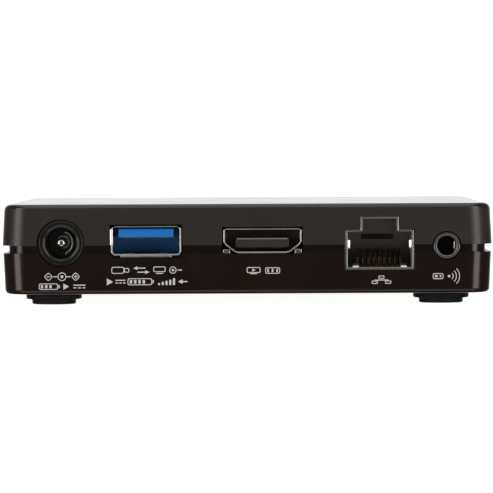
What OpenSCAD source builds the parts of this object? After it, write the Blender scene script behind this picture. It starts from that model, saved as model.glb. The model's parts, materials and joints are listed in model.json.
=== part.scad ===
// Streaming media player: a small square two-shell box with its ports in the rear face.
// Frame: the rear (port) face looks along -Y, +Z is up, the origin is the middle of the footprint
// on the table. All sizes are millimetres.

/* [Case] */
// Width of the case across the ports, at its widest
body_w = 92; // [88:1:112]
// Depth of the case from the rear face to the front face
body_d = 92; // [88:1:112]
// Radius of the four upright corners
corner_r = 4.5; // [4:0.1:8]
// Height of the upper shell, from the seam to the top
upper_h = 7.7; // [7.6:0.1:12]
// Height of the lower shell's outer wall
lower_h = 7.7; // [7:0.1:9]
// Height of the shadow groove between the two shells
groove_h = 1.45; // [0.8:0.05:2]
// Depth of the shadow groove
groove_depth = 1.25; // [1:0.05:1.6]
// Thickness of the lip that stands behind the groove
lip_t = 1.2; // [0.9:0.05:1.6]
// How far the lip reaches up into the upper shell
lip_reach = 1.2; // [0.8:0.1:2]
// Gap between the lip and the upper shell
lip_gap = 0.1; // [0.05:0.05:0.3]
// Side wall of the upper shell above the lip
upper_wall = 2; // [1.6:0.1:2.6]
// Thickness of the roof
roof_t = 1.6; // [1.2:0.1:2]
// Thickness of the floor
floor_t = 1.6; // [1.2:0.1:2]
// Inward lean of the upper shell's sides, in degrees
upper_draft = 3; // [0.5:0.1:5]
// Inward lean of the lower shell's sides, in degrees
lower_draft = 2.6; // [0.5:0.1:5]
// How far the lower shell stands back from the upper one on each side
lower_step = 0.12; // [0.04:0.02:0.5]
// Radius along the top edge
top_fillet = 1; // [0.4:0.1:1.2]
// Radius along the bottom edge
bottom_fillet = 0.9; // [0.4:0.1:1.2]

/* [Feet] */
// Height of the case floor above the table
foot_h = 2.05; // [2:0.05:3]
// Diameter of a foot's upper flange
foot_flange_d = 10.5; // [9:0.1:12]
// Thickness of that flange
foot_flange_t = 1.1; // [0.8:0.05:1.4]
// Diameter of the pad that meets the table
foot_pad_d = 8.3; // [7:0.1:8.8]
// Diameter of the spigot that holds the foot in the floor
foot_spigot_d = 4.8; // [4:0.1:6]
// Length of that spigot
foot_spigot_h = 1; // [0.6:0.1:1.1]
// Distance from a foot's centre to the side walls
foot_inset = 9.4; // [9:0.1:14]
// Gap around and above the spigot
foot_gap = 0.08; // [0.05:0.01:0.15]

/* [Screws] */
// Distance of the case screws from the side walls
case_screw_inset = 8.8; // [8.6:0.1:12]
// Distance of the case screws from the middle, towards front and rear
case_screw_y = 23.5; // [20:0.5:25]
// Shank diameter of a case screw
case_screw_d = 2.5; // [2:0.1:3]
// Head diameter of a case screw
case_screw_head_d = 4.4; // [4:0.1:4.8]
// Head height of a case screw
case_screw_head_h = 1.6; // [1.2:0.1:1.8]
// Outer diameter of the posts around the case screws
case_post_d = 7; // [6.6:0.1:7.6]
// How far a case screw reaches above the circuit board
case_screw_bite = 4.5; // [3:0.5:5]
// Shank diameter of a board screw
board_screw_d = 2; // [1.6:0.1:2.2]
// Head diameter of a board screw
board_screw_head_d = 3.6; // [3:0.1:3.8]
// Head height of a board screw
board_screw_head_h = 1.2; // [1:0.1:1.4]
// Length of a board screw's shank under the board
board_screw_reach = 3; // [2:0.1:3]
// Outer diameter of the board's posts
board_post_d = 4.8; // [4.4:0.1:5]
// Gap around a shank in its hole
screw_gap = 0.1; // [0.05:0.05:0.2]
// Width of the slots in a screw head's cross
cross_w = 0.7; // [0.5:0.1:0.9]
// How deep a case screw's head sits in its well
case_screw_sink = 0.7; // [0.4:0.1:1]
// Distance of the board screws from the inside of the rear wall
board_screw_inset = 7.5; // [6.5:0.5:9]

/* [Circuit board] */
// Thickness of the board
board_t = 1.2; // [1:0.1:1.6]
// Height of the board's top face above the table
board_top_z = 9.3; // [9:0.1:9.6]
// Gap between the board's edge and the case
board_gap = 0.5; // [0.3:0.1:1]
// Gap between a sunk connector and the edge of its cut-out
cutout_gap = 0.2; // [0.1:0.05:0.4]

/* [Power jack] */
// Distance of the power jack left of the middle
dc_x = 34.9; // [33:0.1:35.4]
// Height of the power jack's axis above the table
dc_z = 11.65; // [11:0.05:12]
// Diameter of the round opening in the case
dc_recess_d = 9; // [8.8:0.1:9.6]
// How far the jack's nose is set back from the rear face
dc_setback = 2; // [1.5:0.1:2.2]
// Diameter of the jack's nose
dc_nose_d = 8.6; // [8:0.1:8.7]
// Diameter of the hole that takes the plug's barrel
dc_bore_d = 5.8; // [5.6:0.1:6.2]
// Depth of that hole
dc_bore_depth = 9.5; // [8:0.5:10]
// Diameter at the mouth of its bevelled rim
dc_mouth_d = 7; // [6.6:0.1:7.4]
// Depth of the bevelled rim
dc_mouth_depth = 0.8; // [0.4:0.1:1.2]
// Diameter of the centre pin
dc_pin_d = 2; // [1.9:0.1:2.5]
// How far the pin's tip is behind the nose
dc_pin_setback = 0.9; // [0.5:0.1:2]
// Width and height of the jack's body
dc_body_w = 9; // [8.8:0.1:9]
// Depth of the jack's body behind the case wall
dc_body_d = 12.2; // [12:0.1:13]

/* [USB socket] */
// Distance of the USB socket left of the middle
usb_x = 18.9; // [18:0.1:20]
// Outer width of the USB socket's shell
usb_w = 13.15; // [12.5:0.05:13.5]
// Outer height of the USB socket's shell
usb_h = 5.6; // [5.4:0.05:5.8]
// Depth of the USB socket's shell
usb_depth = 14; // [13:0.5:17]
// Width of the contact tongue
usb_tongue_w = 10.4; // [10:0.1:11]
// Thickness of the contact tongue
usb_tongue_t = 1.7; // [1.5:0.05:1.9]
// Gap between the tongue and the top of the shell
usb_tongue_gap = 0.25; // [0.1:0.05:0.5]
// How far the tongue is set back from the shell's mouth
usb_tongue_setback = 0.8; // [0.4:0.1:1.5]

/* [Video socket] */
// Distance of the video socket right of the middle
video_x = 2.87; // [1:0.01:3.4]
// Outer width of the video socket's shell
video_w = 14.7; // [14.4:0.05:15]
// Outer width of the shell's narrow bottom
video_bottom_w = 9.84; // [9:0.05:10.5]
// Outer height of the shell
video_h = 4.72; // [4.5:0.01:5]
// Height of the sloped lower corners
video_slope_h = 1.83; // [1.4:0.01:2.2]
// Gap between the shell and the circuit board
video_lift = 0.35; // [0.2:0.05:0.5]
// Depth of the shell
video_depth = 11; // [10:0.5:14]
// Width of the contact tongue
video_tongue_w = 10; // [9.5:0.1:10.8]
// Thickness of the contact tongue
video_tongue_t = 1.7; // [1.4:0.05:1.9]
// Height of the tongue above the shell's bottom
video_tongue_z = 1.05; // [0.9:0.05:1.3]
// How far the tongue is set back from the shell's mouth
video_tongue_setback = 1; // [0.5:0.1:2]

/* [Network socket] */
// Distance of the network socket right of the middle
lan_x = 24.8; // [24:0.1:25.4]
// Height of the bottom of its opening above the table
lan_z = 6.87; // [6.8:0.01:7.2]
// Width of the opening
lan_w = 12.1; // [11.9:0.05:12.3]
// Height of the wide part of the opening
lan_h = 6.76; // [6.6:0.01:6.9]
// Width of the notch for the plug's latch
lan_notch_w = 6.5; // [6:0.1:6.8]
// Height of the notch above the wide part
lan_notch_h = 2.47; // [2:0.01:2.7]
// Depth of the opening
lan_cavity_depth = 13.5; // [13:0.5:14]
// Outer width of the shielded housing
lan_box_w = 16.1; // [15.6:0.1:16.2]
// Outer depth of the shielded housing behind the wall
lan_box_d = 16; // [15.5:0.1:17]
// Thickness of the housing under the opening
lan_floor_t = 0.9; // [0.7:0.05:1.2]
// Room between the shielded housing and the roof
lan_headroom = 0.5; // [0.3:0.1:1]
// Number of contacts in the network socket
lan_contacts = 8; // [4, 6, 8]
// Spacing of the contacts
lan_pitch = 1.02; // [1:0.01:1.1]

/* [Infrared receiver jack] */
// Distance of the receiver jack right of the middle
ir_x = 37.36; // [36.8:0.01:37.4]
// Height of its axis above the table
ir_z = 10.93; // [10.6:0.01:11.2]
// Diameter of the hole that takes the plug
ir_bore_d = 3.6; // [3.5:0.05:3.7]
// Depth of that hole
ir_bore_depth = 14; // [13:0.5:14.5]
// Outer diameter of the metal ring at the mouth
ir_ring_d = 5; // [4.8:0.05:5.2]
// Wall of that ring
ir_ring_wall = 0.4; // [0.3:0.05:0.5]
// Width and height of the jack's body
ir_body_w = 5.6; // [5.4:0.1:6]
// Depth of the jack's body behind the case wall
ir_body_d = 12.5; // [12.4:0.1:13]
// How far the ring is set back from the rear face
ir_setback = 0.4; // [0.2:0.05:0.8]

/* [Connectors in general] */
// Thickness of the folded sheet metal
sheet_t = 0.3; // [0.2:0.05:0.4]
// Gap between a connector and its opening in the case
port_gap = 0.2; // [0.1:0.05:0.3]
// How far the metal shells are set back from the rear face
shell_setback = 0.15; // [0.05:0.05:0.4]
// Gap around a contact or an insert inside its housing
insert_gap = 0.05; // [0.02:0.01:0.1]

/* [Parts on the board] */
// Side of the main processor
soc_w = 17; // [14:0.5:20]
// Height of the main processor
soc_h = 1.4; // [1:0.1:1.8]
// Side of the heat sink
sink_w = 34; // [28:1:36]
// Thickness of the heat sink's base
sink_base_t = 1.4; // [1:0.1:2]
// Height of the heat sink's fins
sink_fin_h = 3; // [2:0.1:3.6]
// Thickness of one fin
sink_fin_t = 1; // [0.8:0.1:1.4]
// Number of fins
sink_fins = 9; // [6:1:11]
// Thickness of the heat-conducting pad
pad_t = 0.5; // [0.3:0.1:1]
// Side of the wireless module
wifi_w = 12; // [10:0.5:14]
// Height of the wireless module's can
wifi_h = 1.7; // [1.4:0.1:2.2]
// Height of the memory chips
memory_h = 1; // [0.8:0.1:1.2]
// Height of the network transformer
magnetics_h = 4; // [3:0.1:5]
// Height of the power inductors
inductor_h = 3; // [2:0.1:4]
// Diameter of the can capacitors
capacitor_d = 5; // [4:0.1:5.2]
// Height of the can capacitors
capacitor_h = 5.4; // [4:0.1:6]

/* [Reset switch] */
// Place of the reset switch from the middle, across the case
reset_x = -15; // [-18:0.5:-13]
// Place of the reset switch from the middle, along the case
reset_y = 30; // [28:0.5:32]
// Diameter of the pinhole in the floor
pinhole_d = 1.6; // [1.2:0.1:2]
// Side of the switch's body
switch_w = 4.5; // [4:0.1:5]
// Height of the switch's body
switch_h = 2; // [1.8:0.1:2.2]
// Diameter of the push button
button_d = 1.9; // [1.6:0.1:2.2]
// How far the push button stands out
button_reach = 0.9; // [0.6:0.1:1]
// Travel of the push button
button_travel = 0.25; // [0.2:0.05:0.3]

/* [Status light] */
// Distance of the status light right of the middle
light_x = 0; // [-10:0.5:10]
// Diameter of the light pipe's window
light_d = 2.4; // [2:0.1:3]
// Height of the window above the seam
light_rise = 2.6; // [2.4:0.1:3]

/* [Vents] */
// Number of vent slots in the floor
vent_count = 7; // [3:1:9]
// Length of a vent slot
vent_length = 22; // [14:1:26]
// Width of a vent slot
vent_w = 1.6; // [1:0.1:2]
// Spacing of the vent slots
vent_pitch = 4; // [3:0.1:4.4]

/* [Hidden] */
$fn = 48;

// Levels above the table
base_z = foot_h;
floor_top_z = base_z + floor_t;
base_top_z = base_z + lower_h;
seam_z = base_top_z + groove_h;
top_z = seam_z + upper_h;
roof_z = top_z - roof_t;
lip_top_z = seam_z + lip_reach;
board_z = board_top_z - board_t;

// Half sizes in plan
half_w = body_w / 2;
half_d = body_d / 2;
rear_y = -half_d;
front_y = half_d;
lip_outer = groove_depth;
lip_inner = groove_depth + lip_t;
cavity_y = rear_y + lip_inner;
connector_y = cavity_y + port_gap;
mouth_y = rear_y + shell_setback;

// Corner and fillet steps
corner_steps = 6;
fillet_steps = 5;
through = 1;

// Places of screws and feet
case_screw_x = half_w - case_screw_inset;
head_seat_z = base_z + case_screw_head_h + case_screw_sink;
board_screw_y = cavity_y + board_screw_inset;
board_screw_xs = [
    (video_x - video_w / 2 - usb_x + usb_w / 2) / 2,
    (video_x + video_w / 2 + lan_x - lan_box_w / 2) / 2
];
foot_x = half_w - foot_inset;
foot_y = half_d - foot_inset;

// Levels of the connectors
usb_z = board_top_z;
video_z = board_top_z + video_lift;
lan_top_z = lan_z + lan_h;
lan_box_z = lan_z - lan_floor_t;
lan_box_top = roof_z - lan_headroom;
soc_top_z = board_top_z + soc_h;
pad_top_z = soc_top_z + pad_t;

// Details of the power jack
dc_nose_y = rear_y + dc_setback;
dc_bore_end = dc_nose_y + dc_bore_depth;
dc_pin_base_d = dc_pin_d + 0.8;
dc_spring_w = 2;
dc_spring_t = 0.3;
dc_spring_room = 0.9;

// Details of the other sockets
usb_back_d = 4;
usb_tongue_top = usb_z + usb_h - sheet_t - usb_tongue_gap;
video_back_d = 3;
lan_front_y = connector_y + sheet_t + insert_gap;
ir_nose_y = rear_y + ir_setback;
ir_contact_ys = [connector_y + 2.6, connector_y + 7.6];
ir_contact_x = ir_bore_d / 2 + 0.3;
ir_contact_l = 2.4;
ir_contact_h = 1.6;
lug_w = 1;
lug_l = 3;
lug_t = 0.8;

// Details of the parts on the board
sink_y = 10;
sink_pin_d = 2;
sink_pin_inset = 2.5;
sink_pin_x = sink_w / 2 - sink_pin_inset;
wifi_x = -(sink_w / 2 + wifi_w / 2 + 4);
wifi_y = sink_y + 3;
led_y = front_y - lip_inner - board_gap - 3;
led_h = 0.9;
antenna_l = 28;
antenna_h = 4;
antenna_t = 0.3;
antenna_y = 5;
antenna_z = roof_z - antenna_h / 2 - 0.3;
lead_d = 1.1;
lead_z = board_top_z + wifi_h + 2;
lead_end_x = half_w - upper_wall - antenna_t - lead_d / 2;

// Outline of a rectangle with round corners, centred on the origin
function round_rect(w, d, r) = [
    for (corner = [0:3])
        for (step = [0:corner_steps])
            let (turn = corner * 90 + step * 90 / corner_steps)
            let (sx = corner == 0 || corner == 3 ? 1 : -1)
            let (sy = corner < 2 ? 1 : -1)
            [sx * (w / 2 - r) + r * cos(turn), sy * (d / 2 - r) + r * sin(turn)]
];

// A straight-sided block with round upright corners, from z0 to z1
module round_block(w, d, r, z0, z1) {
    translate([0, 0, z0])
        linear_extrude(height = z1 - z0)
            polygon(round_rect(w, d, r));
}

// A block whose upright edge follows a profile [distance from the corner's axis, height]
module profile_block(w, d, r, profile) {
    count = len(profile);
    ends = [w / 2 - r, d / 2 - r];
    x_section = concat(
        [for (p = profile) [ends[1] + p[0], p[1]]],
        [for (i = [count - 1:-1:0]) [-ends[1] - profile[i][0], profile[i][1]]]
    );
    y_section = concat(
        [for (p = profile) [ends[0] + p[0], p[1]]],
        [for (i = [count - 1:-1:0]) [-ends[0] - profile[i][0], profile[i][1]]]
    );
    corner_section = concat([[0, profile[0][1]]], profile, [[0, profile[count - 1][1]]]);
    rotate([90, 0, 90])
        linear_extrude(height = 2 * ends[0], center = true)
            polygon(x_section);
    rotate([90, 0, 0])
        linear_extrude(height = 2 * ends[1], center = true)
            polygon(y_section);
    for (corner = [0:3])
        translate([
            (corner == 0 || corner == 3 ? 1 : -1) * ends[0],
            (corner < 2 ? 1 : -1) * ends[1],
            0
        ])
            rotate([0, 0, corner * 90])
                rotate_extrude(angle = 90)
                    polygon(corner_section);
}

// Two solder lugs that rest on the board beside a sunk connector
module side_lugs(x, w, y) {
    reach = w / 2 + cutout_gap + lug_w;
    for (side = [-1, 1])
        translate([x + side * (reach + w / 2) / 2 - (reach - w / 2) / 2, y, board_top_z])
            cube([reach - w / 2, lug_l, lug_t]);
}

// A box from its low corner to its high corner
module span(low, high) {
    translate(low)
        cube(high - low);
}

// A cylinder along Y from y0 to y1
module rod_y(x, z, d, y0, y1) {
    translate([x, y0, z])
        rotate([-90, 0, 0])
            cylinder(d = d, h = y1 - y0);
}

// A cone along Y
module cone_y(x, z, d0, d1, y0, y1) {
    translate([x, y0, z])
        rotate([-90, 0, 0])
            cylinder(d1 = d0, d2 = d1, h = y1 - y0);
}

// A prism along Y with an outline given as [x, z] points
module prism_y(points, y0, y1) {
    translate([0, y1, 0])
        rotate([90, 0, 0])
            linear_extrude(height = y1 - y0)
                polygon(points);
}

// Repeats a child at the four case screws
module at_case_screws() {
    for (x = [-case_screw_x, case_screw_x])
        for (y = [-case_screw_y, case_screw_y])
            translate([x, y, 0])
                children();
}

// Repeats a child at the two board screws
module at_board_screws() {
    for (x = board_screw_xs)
        translate([x, board_screw_y, 0])
            children();
}

// Repeats a child at the four feet
module at_feet() {
    for (x = [-foot_x, foot_x])
        for (y = [-foot_y, foot_y])
            translate([x, y, 0])
                children();
}

// Outline of the network socket's opening, grown by a margin
function lan_outline(margin) = [
    [lan_x - lan_w / 2 - margin, lan_z - margin],
    [lan_x + lan_w / 2 + margin, lan_z - margin],
    [lan_x + lan_w / 2 + margin, lan_top_z + margin],
    [lan_x + lan_notch_w / 2 + margin, lan_top_z + margin],
    [lan_x + lan_notch_w / 2 + margin, lan_top_z + lan_notch_h + margin],
    [lan_x - lan_notch_w / 2 - margin, lan_top_z + lan_notch_h + margin],
    [lan_x - lan_notch_w / 2 - margin, lan_top_z + margin],
    [lan_x - lan_w / 2 - margin, lan_top_z + margin]
];

// Outline of the video socket's shell, shrunk by a margin
function video_outline(margin) = [
    [video_x - video_bottom_w / 2 + margin / 2, video_z + margin],
    [video_x + video_bottom_w / 2 - margin / 2, video_z + margin],
    [video_x + video_w / 2 - margin, video_z + video_slope_h + margin / 2],
    [video_x + video_w / 2 - margin, video_z + video_h - margin],
    [video_x - video_w / 2 + margin, video_z + video_h - margin],
    [video_x - video_w / 2 + margin, video_z + video_slope_h + margin / 2]
];

// Every opening in the rear wall, cut from both shells
module port_openings() {
    out_y = rear_y - through;
    in_y = cavity_y + through;
    rod_y(-dc_x, dc_z, dc_recess_d, out_y, in_y);
    span(
        [-usb_x - usb_w / 2 - port_gap, out_y, usb_z - sheet_t - port_gap],
        [-usb_x + usb_w / 2 + port_gap, in_y, usb_z + usb_h + port_gap]
    );
    span(
        [video_x - video_w / 2 - port_gap, out_y, video_z - port_gap],
        [video_x + video_w / 2 + port_gap, in_y, video_z + video_h + port_gap]
    );
    prism_y(lan_outline(sheet_t + port_gap), out_y, in_y);
    rod_y(ir_x, ir_z, ir_ring_d + 2 * port_gap, out_y, in_y);
}

// Upper shell: roof, leaning sides, rebate over the lip and four screw posts
module upper_shell() {
    lean = tan(upper_draft);
    arc_z = top_z - top_fillet;
    arc_x = corner_r - (arc_z - seam_z) * lean - top_fillet / cos(upper_draft);
    profile = concat(
        [[corner_r, seam_z]],
        [for (i = [0:fillet_steps])
            let (turn = upper_draft + i * (90 - upper_draft) / fillet_steps)
            [arc_x + top_fillet * cos(turn), arc_z + top_fillet * sin(turn)]]
    );
    rebate = lip_outer - lip_gap;
    rebate_z = lip_top_z + lip_gap;
    color([0.16, 0.15, 0.14])
        difference() {
            union() {
                difference() {
                    profile_block(body_w, body_d, corner_r, profile);
                    round_block(
                        body_w - 2 * upper_wall, body_d - 2 * upper_wall,
                        corner_r - upper_wall, seam_z - through, roof_z
                    );
                    round_block(
                        body_w - 2 * rebate, body_d - 2 * rebate,
                        corner_r - rebate, seam_z - through, rebate_z
                    );
                }
                at_case_screws()
                    translate([0, 0, board_top_z])
                        cylinder(d = case_post_d, h = roof_z + roof_t / 2 - board_top_z);
            }
            at_case_screws()
                translate([0, 0, board_top_z - through])
                    cylinder(d = case_screw_d + 2 * screw_gap, h = case_screw_bite + 2 * through);
            port_openings();
            rod_y(light_x, seam_z + light_rise, light_d + 2 * port_gap, front_y - 2 * upper_wall,
                front_y + through);
        }
}

// Lower shell: floor, leaning sides, the lip behind the groove, posts, wells, vents and pinhole
module lower_shell() {
    lean = tan(lower_draft);
    edge_r = corner_r - lower_step;
    arc_z = base_z + bottom_fillet;
    arc_x = edge_r - (base_top_z - arc_z) * lean - bottom_fillet / cos(lower_draft);
    profile = concat(
        [for (i = [0:fillet_steps])
            let (turn = -90 + i * (90 - lower_draft) / fillet_steps)
            [arc_x + bottom_fillet * cos(turn), arc_z + bottom_fillet * sin(turn)]],
        [[edge_r, base_top_z]]
    );
    color([0.1, 0.07, 0.06])
        difference() {
            union() {
                difference() {
                    union() {
                        profile_block(
                            body_w - 2 * lower_step, body_d - 2 * lower_step, edge_r, profile
                        );
                        round_block(
                            body_w - 2 * lip_outer, body_d - 2 * lip_outer,
                            corner_r - lip_outer, floor_top_z, lip_top_z
                        );
                    }
                    round_block(
                        body_w - 2 * lip_inner, body_d - 2 * lip_inner,
                        corner_r - lip_inner, floor_top_z, lip_top_z + through
                    );
                }
                at_case_screws()
                    translate([0, 0, base_z + floor_t / 2])
                        cylinder(d = case_post_d, h = board_z - base_z - floor_t / 2);
                at_board_screws()
                    translate([0, 0, base_z + floor_t / 2])
                        cylinder(d = board_post_d, h = board_z - base_z - floor_t / 2);
            }
            at_case_screws() {
                translate([0, 0, base_z - through])
                    cylinder(
                        d = case_screw_head_d + 4 * screw_gap, h = head_seat_z - base_z + through
                    );
                translate([0, 0, base_z])
                    cylinder(d = case_screw_d + 2 * screw_gap, h = board_z - base_z + through);
            }
            at_board_screws()
                translate([0, 0, board_z - board_screw_reach - screw_gap])
                    cylinder(d = board_screw_d + 2 * screw_gap, h = board_screw_reach + through);
            at_feet()
                translate([0, 0, base_z - through])
                    cylinder(d = foot_spigot_d + 2 * foot_gap, h = through + foot_spigot_h + foot_gap);
            for (i = [0:vent_count - 1])
                translate([(i - (vent_count - 1) / 2) * vent_pitch, 0, base_z - through])
                    vent_slot();
            translate([reset_x, reset_y, base_z - through])
                cylinder(d = pinhole_d, h = floor_t + 2 * through);
            port_openings();
        }
}

// One round-ended slot, long in Y
module vent_slot() {
    linear_extrude(height = floor_t + 2 * through)
        polygon(round_rect(vent_w, vent_length, vent_w * 0.48));
}

// A push-in rubber foot with its flange, pad and spigot
module foot(side_x, side_y) {
    edge = 0.35;
    pad_z = base_z - foot_flange_t;
    color([0.12, 0.11, 0.1])
        translate([side_x * foot_x, side_y * foot_y, 0])
            rotate_extrude()
                polygon([
                    [0, 0],
                    [foot_pad_d / 2 - edge, 0],
                    [foot_pad_d / 2, edge],
                    [foot_pad_d / 2, pad_z],
                    [foot_flange_d / 2 - edge, pad_z],
                    [foot_flange_d / 2, pad_z + edge],
                    [foot_flange_d / 2, base_z - edge],
                    [foot_flange_d / 2 - edge, base_z],
                    [foot_spigot_d / 2, base_z],
                    [foot_spigot_d / 2, base_z + foot_spigot_h],
                    [0, base_z + foot_spigot_h]
                ]);
}

module foot_rear_left() {
    foot(-1, -1);
}

module foot_rear_right() {
    foot(1, -1);
}

module foot_front_left() {
    foot(-1, 1);
}

module foot_front_right() {
    foot(1, 1);
}

// A cross recess cut into a screw head whose outer face is at z = 0 and faces down
module cross_recess(head_d, depth) {
    reach = head_d * 0.6;
    for (turn = [0, 90])
        rotate([0, 0, turn])
            translate([-reach / 2, -cross_w / 2, -through])
                cube([reach, cross_w, depth + through]);
}

// The four screws that hold the shells together, driven from below
module case_screws() {
    head_z = head_seat_z - case_screw_head_h;
    shank = board_top_z + case_screw_bite - head_seat_z;
    color([0.2, 0.2, 0.21])
        at_case_screws()
            translate([0, 0, head_z])
                difference() {
                    union() {
                        cylinder(d = case_screw_head_d, h = case_screw_head_h);
                        translate([0, 0, case_screw_head_h])
                            cylinder(d = case_screw_d, h = shank);
                    }
                    cross_recess(case_screw_head_d, case_screw_head_h / 2);
                }
}

// The two screws that hold the board behind the ports
module board_screws() {
    color([0.75, 0.74, 0.7])
        at_board_screws()
            translate([0, 0, board_top_z + board_screw_head_h])
                mirror([0, 0, 1])
                    difference() {
                        union() {
                            cylinder(d = board_screw_head_d, h = board_screw_head_h);
                            translate([0, 0, board_screw_head_h])
                                cylinder(d = board_screw_d, h = board_t + board_screw_reach);
                        }
                        cross_recess(board_screw_head_d, board_screw_head_h / 2);
                    }
}

// A rectangular cut-out in the board, open at its rear edge
module board_cutout(x, w, y) {
    translate([x - w / 2 - cutout_gap, rear_y])
        square([w + 2 * cutout_gap, y + cutout_gap - rear_y]);
}

// Main circuit board with cut-outs for the three sunk connectors
module main_board() {
    board_w = body_w - 2 * (lip_inner + board_gap);
    board_d = body_d - 2 * (lip_inner + board_gap);
    board_r = corner_r - lip_inner;
    hole = case_screw_d + 4 * screw_gap;
    color([0.05, 0.3, 0.16])
        translate([0, 0, board_z])
            linear_extrude(height = board_t)
                difference() {
                    polygon(round_rect(board_w, board_d, board_r));
                    board_cutout(-dc_x, dc_body_w, connector_y + dc_body_d);
                    board_cutout(lan_x, lan_box_w, connector_y + lan_box_d);
                    board_cutout(ir_x, ir_body_w, connector_y + ir_body_d);
                    for (x = [-case_screw_x, case_screw_x])
                        for (y = [-case_screw_y, case_screw_y])
                            translate([x, y])
                                circle(d = hole);
                    for (x = board_screw_xs)
                        translate([x, board_screw_y])
                            circle(d = board_screw_d + 4 * screw_gap);
                    for (x = [-1, 1])
                        translate([x * sink_pin_x, sink_y])
                            circle(d = sink_pin_d + 2 * screw_gap);
                }
}

// A chip: a flat block centred on [x, y] and standing on the board
module chip(x, y, w, d, h) {
    translate([x - w / 2, y - d / 2, board_top_z])
        cube([w, d, h]);
}

module soc_chip() {
    color([0.12, 0.12, 0.13])
        chip(0, sink_y, soc_w, soc_w, soc_h);
}

module thermal_pad() {
    color([0.6, 0.68, 0.75])
        translate([-soc_w / 2, sink_y - soc_w / 2, soc_top_z])
            cube([soc_w, soc_w, pad_t]);
}

// Finned heat sink over the main chip
module heat_sink() {
    fin_room = sink_w - sink_fin_t;
    gap_y = sink_pin_d + 3;
    color([0.72, 0.73, 0.75])
        translate([0, sink_y, pad_top_z])
            difference() {
                union() {
                    translate([-sink_w / 2, -sink_w / 2, 0])
                        cube([sink_w, sink_w, sink_base_t]);
                    for (i = [0:sink_fins - 1])
                        translate([-sink_w / 2 + i * fin_room / (sink_fins - 1), -sink_w / 2, 0])
                            cube([sink_fin_t, sink_w, sink_base_t + sink_fin_h]);
                }
                translate([-sink_w / 2 - through, -gap_y / 2, sink_base_t])
                    cube([sink_w + 2 * through, gap_y, sink_fin_h + through]);
                for (x = [-sink_pin_x, sink_pin_x])
                    translate([x, 0, -through])
                        cylinder(d = sink_pin_d + 2 * screw_gap, h = sink_base_t + 2 * through);
            }
}

// Two push pins that hold the heat sink to the board
module heat_sink_pins() {
    head_h = 1;
    head_d = sink_pin_d + 2;
    barb_h = 1.2;
    barb_d = sink_pin_d + 0.8;
    color([0.85, 0.85, 0.83])
        for (x = [-sink_pin_x, sink_pin_x])
            translate([x, sink_y, 0]) {
                translate([0, 0, board_z - barb_h])
                    cylinder(d = sink_pin_d, h = pad_top_z + sink_base_t - board_z + barb_h);
                translate([0, 0, pad_top_z + sink_base_t])
                    cylinder(d = head_d, h = head_h);
                translate([0, 0, board_z - barb_h])
                    cylinder(d1 = sink_pin_d, d2 = barb_d, h = barb_h);
            }
}

// Two memory chips beside the heat sink
module memory_chips() {
    chip_w = 8;
    chip_d = 12;
    color([0.1, 0.1, 0.11])
        for (side = [-1, 1])
            chip(sink_w / 2 + 7, sink_y + side * (chip_d / 2 + 1), chip_w, chip_d, memory_h);
}

// Storage chip in front of the heat sink
module storage_chip() {
    w = 11.5;
    d = 13;
    color([0.1, 0.1, 0.11])
        chip(light_x + 12, sink_y + sink_w / 2 + 8, w, d, memory_h);
}

// Wireless module: a small carrier under a metal can
module wifi_module() {
    substrate_h = 0.5;
    edge = 0.6;
    color([0.7, 0.71, 0.72]) {
        chip(wifi_x, wifi_y, wifi_w, wifi_w, substrate_h);
        chip(wifi_x, wifi_y, wifi_w - 2 * edge, wifi_w - 2 * edge, wifi_h);
    }
}

// Flat antennas stuck to the inside of the upper shell's side walls
module antenna(side) {
    wall_x = half_w - upper_wall;
    color([0.75, 0.5, 0.2])
        translate([side * (wall_x - antenna_t / 2), antenna_y, antenna_z])
            cube([antenna_t, antenna_l, antenna_h], center = true);
}

module antenna_left() {
    antenna(-1);
}

module antenna_right() {
    antenna(1);
}

// Thin coaxial lead along straight runs between hand-picked points
module lead(points) {
    color([0.15, 0.15, 0.16])
        for (i = [0:len(points) - 2])
            hull() {
                translate(points[i])
                    sphere(d = lead_d, $fn = 12);
                translate(points[i + 1])
                    sphere(d = lead_d, $fn = 12);
            }
}

module antenna_lead_left() {
    lead([
        [wifi_x - 3, wifi_y + 2, board_top_z + wifi_h + lead_d / 2],
        [wifi_x - 5, wifi_y + 2, lead_z],
        [-lead_end_x, wifi_y + 2, antenna_z]
    ]);
}

module antenna_lead_right() {
    run_y = sink_y + sink_w / 2 + 1.4;
    lead([
        [wifi_x + 3, wifi_y + 3, board_top_z + wifi_h + lead_d / 2],
        [wifi_x + 4, run_y, lead_z],
        [sink_w / 2 + 10, run_y, lead_z],
        [lead_end_x, antenna_y, antenna_z]
    ]);
}

// Isolating transformer behind the network socket
module network_transformer() {
    w = 15;
    d = 9;
    behind = 3;
    color([0.1, 0.1, 0.1])
        chip(lan_x, connector_y + lan_box_d + behind + d / 2, w, d, magnetics_h);
}

// Two inductors of the power supply, in a row behind the power jack
module power_inductors() {
    w = 6;
    pitch = 8;
    first_x = -dc_x + 9.5;
    first_y = connector_y + dc_body_d + 9.5;
    color([0.3, 0.3, 0.32])
        for (i = [0, 1])
            chip(first_x, first_y + i * pitch, w, w, inductor_h);
}

// Three can capacitors beside the inductors
module can_capacitors() {
    pitch = 6.5;
    first_x = -dc_x + 18;
    first_y = connector_y + dc_body_d + 7;
    color([0.7, 0.7, 0.72])
        for (i = [0:2])
            translate([first_x, first_y + i * pitch, board_top_z])
                cylinder(d = capacitor_d, h = capacitor_h);
}

// Two small chips of the power supply, between the sockets and the heat sink
module power_chips() {
    row_y = sink_y - sink_w / 2 - 8;
    d = 4;
    color([0.1, 0.1, 0.11]) {
        chip(-6, row_y, 5, d, 1.2);
        chip(4, row_y, 4, d, 0.9);
    }
}

// Metal can of the clock crystal
module clock_crystal() {
    w = 3.2;
    d = 5;
    h = 1;
    color([0.78, 0.77, 0.72])
        chip(sink_w / 2 + 6, sink_y - 19, w, d, h);
}

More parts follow.
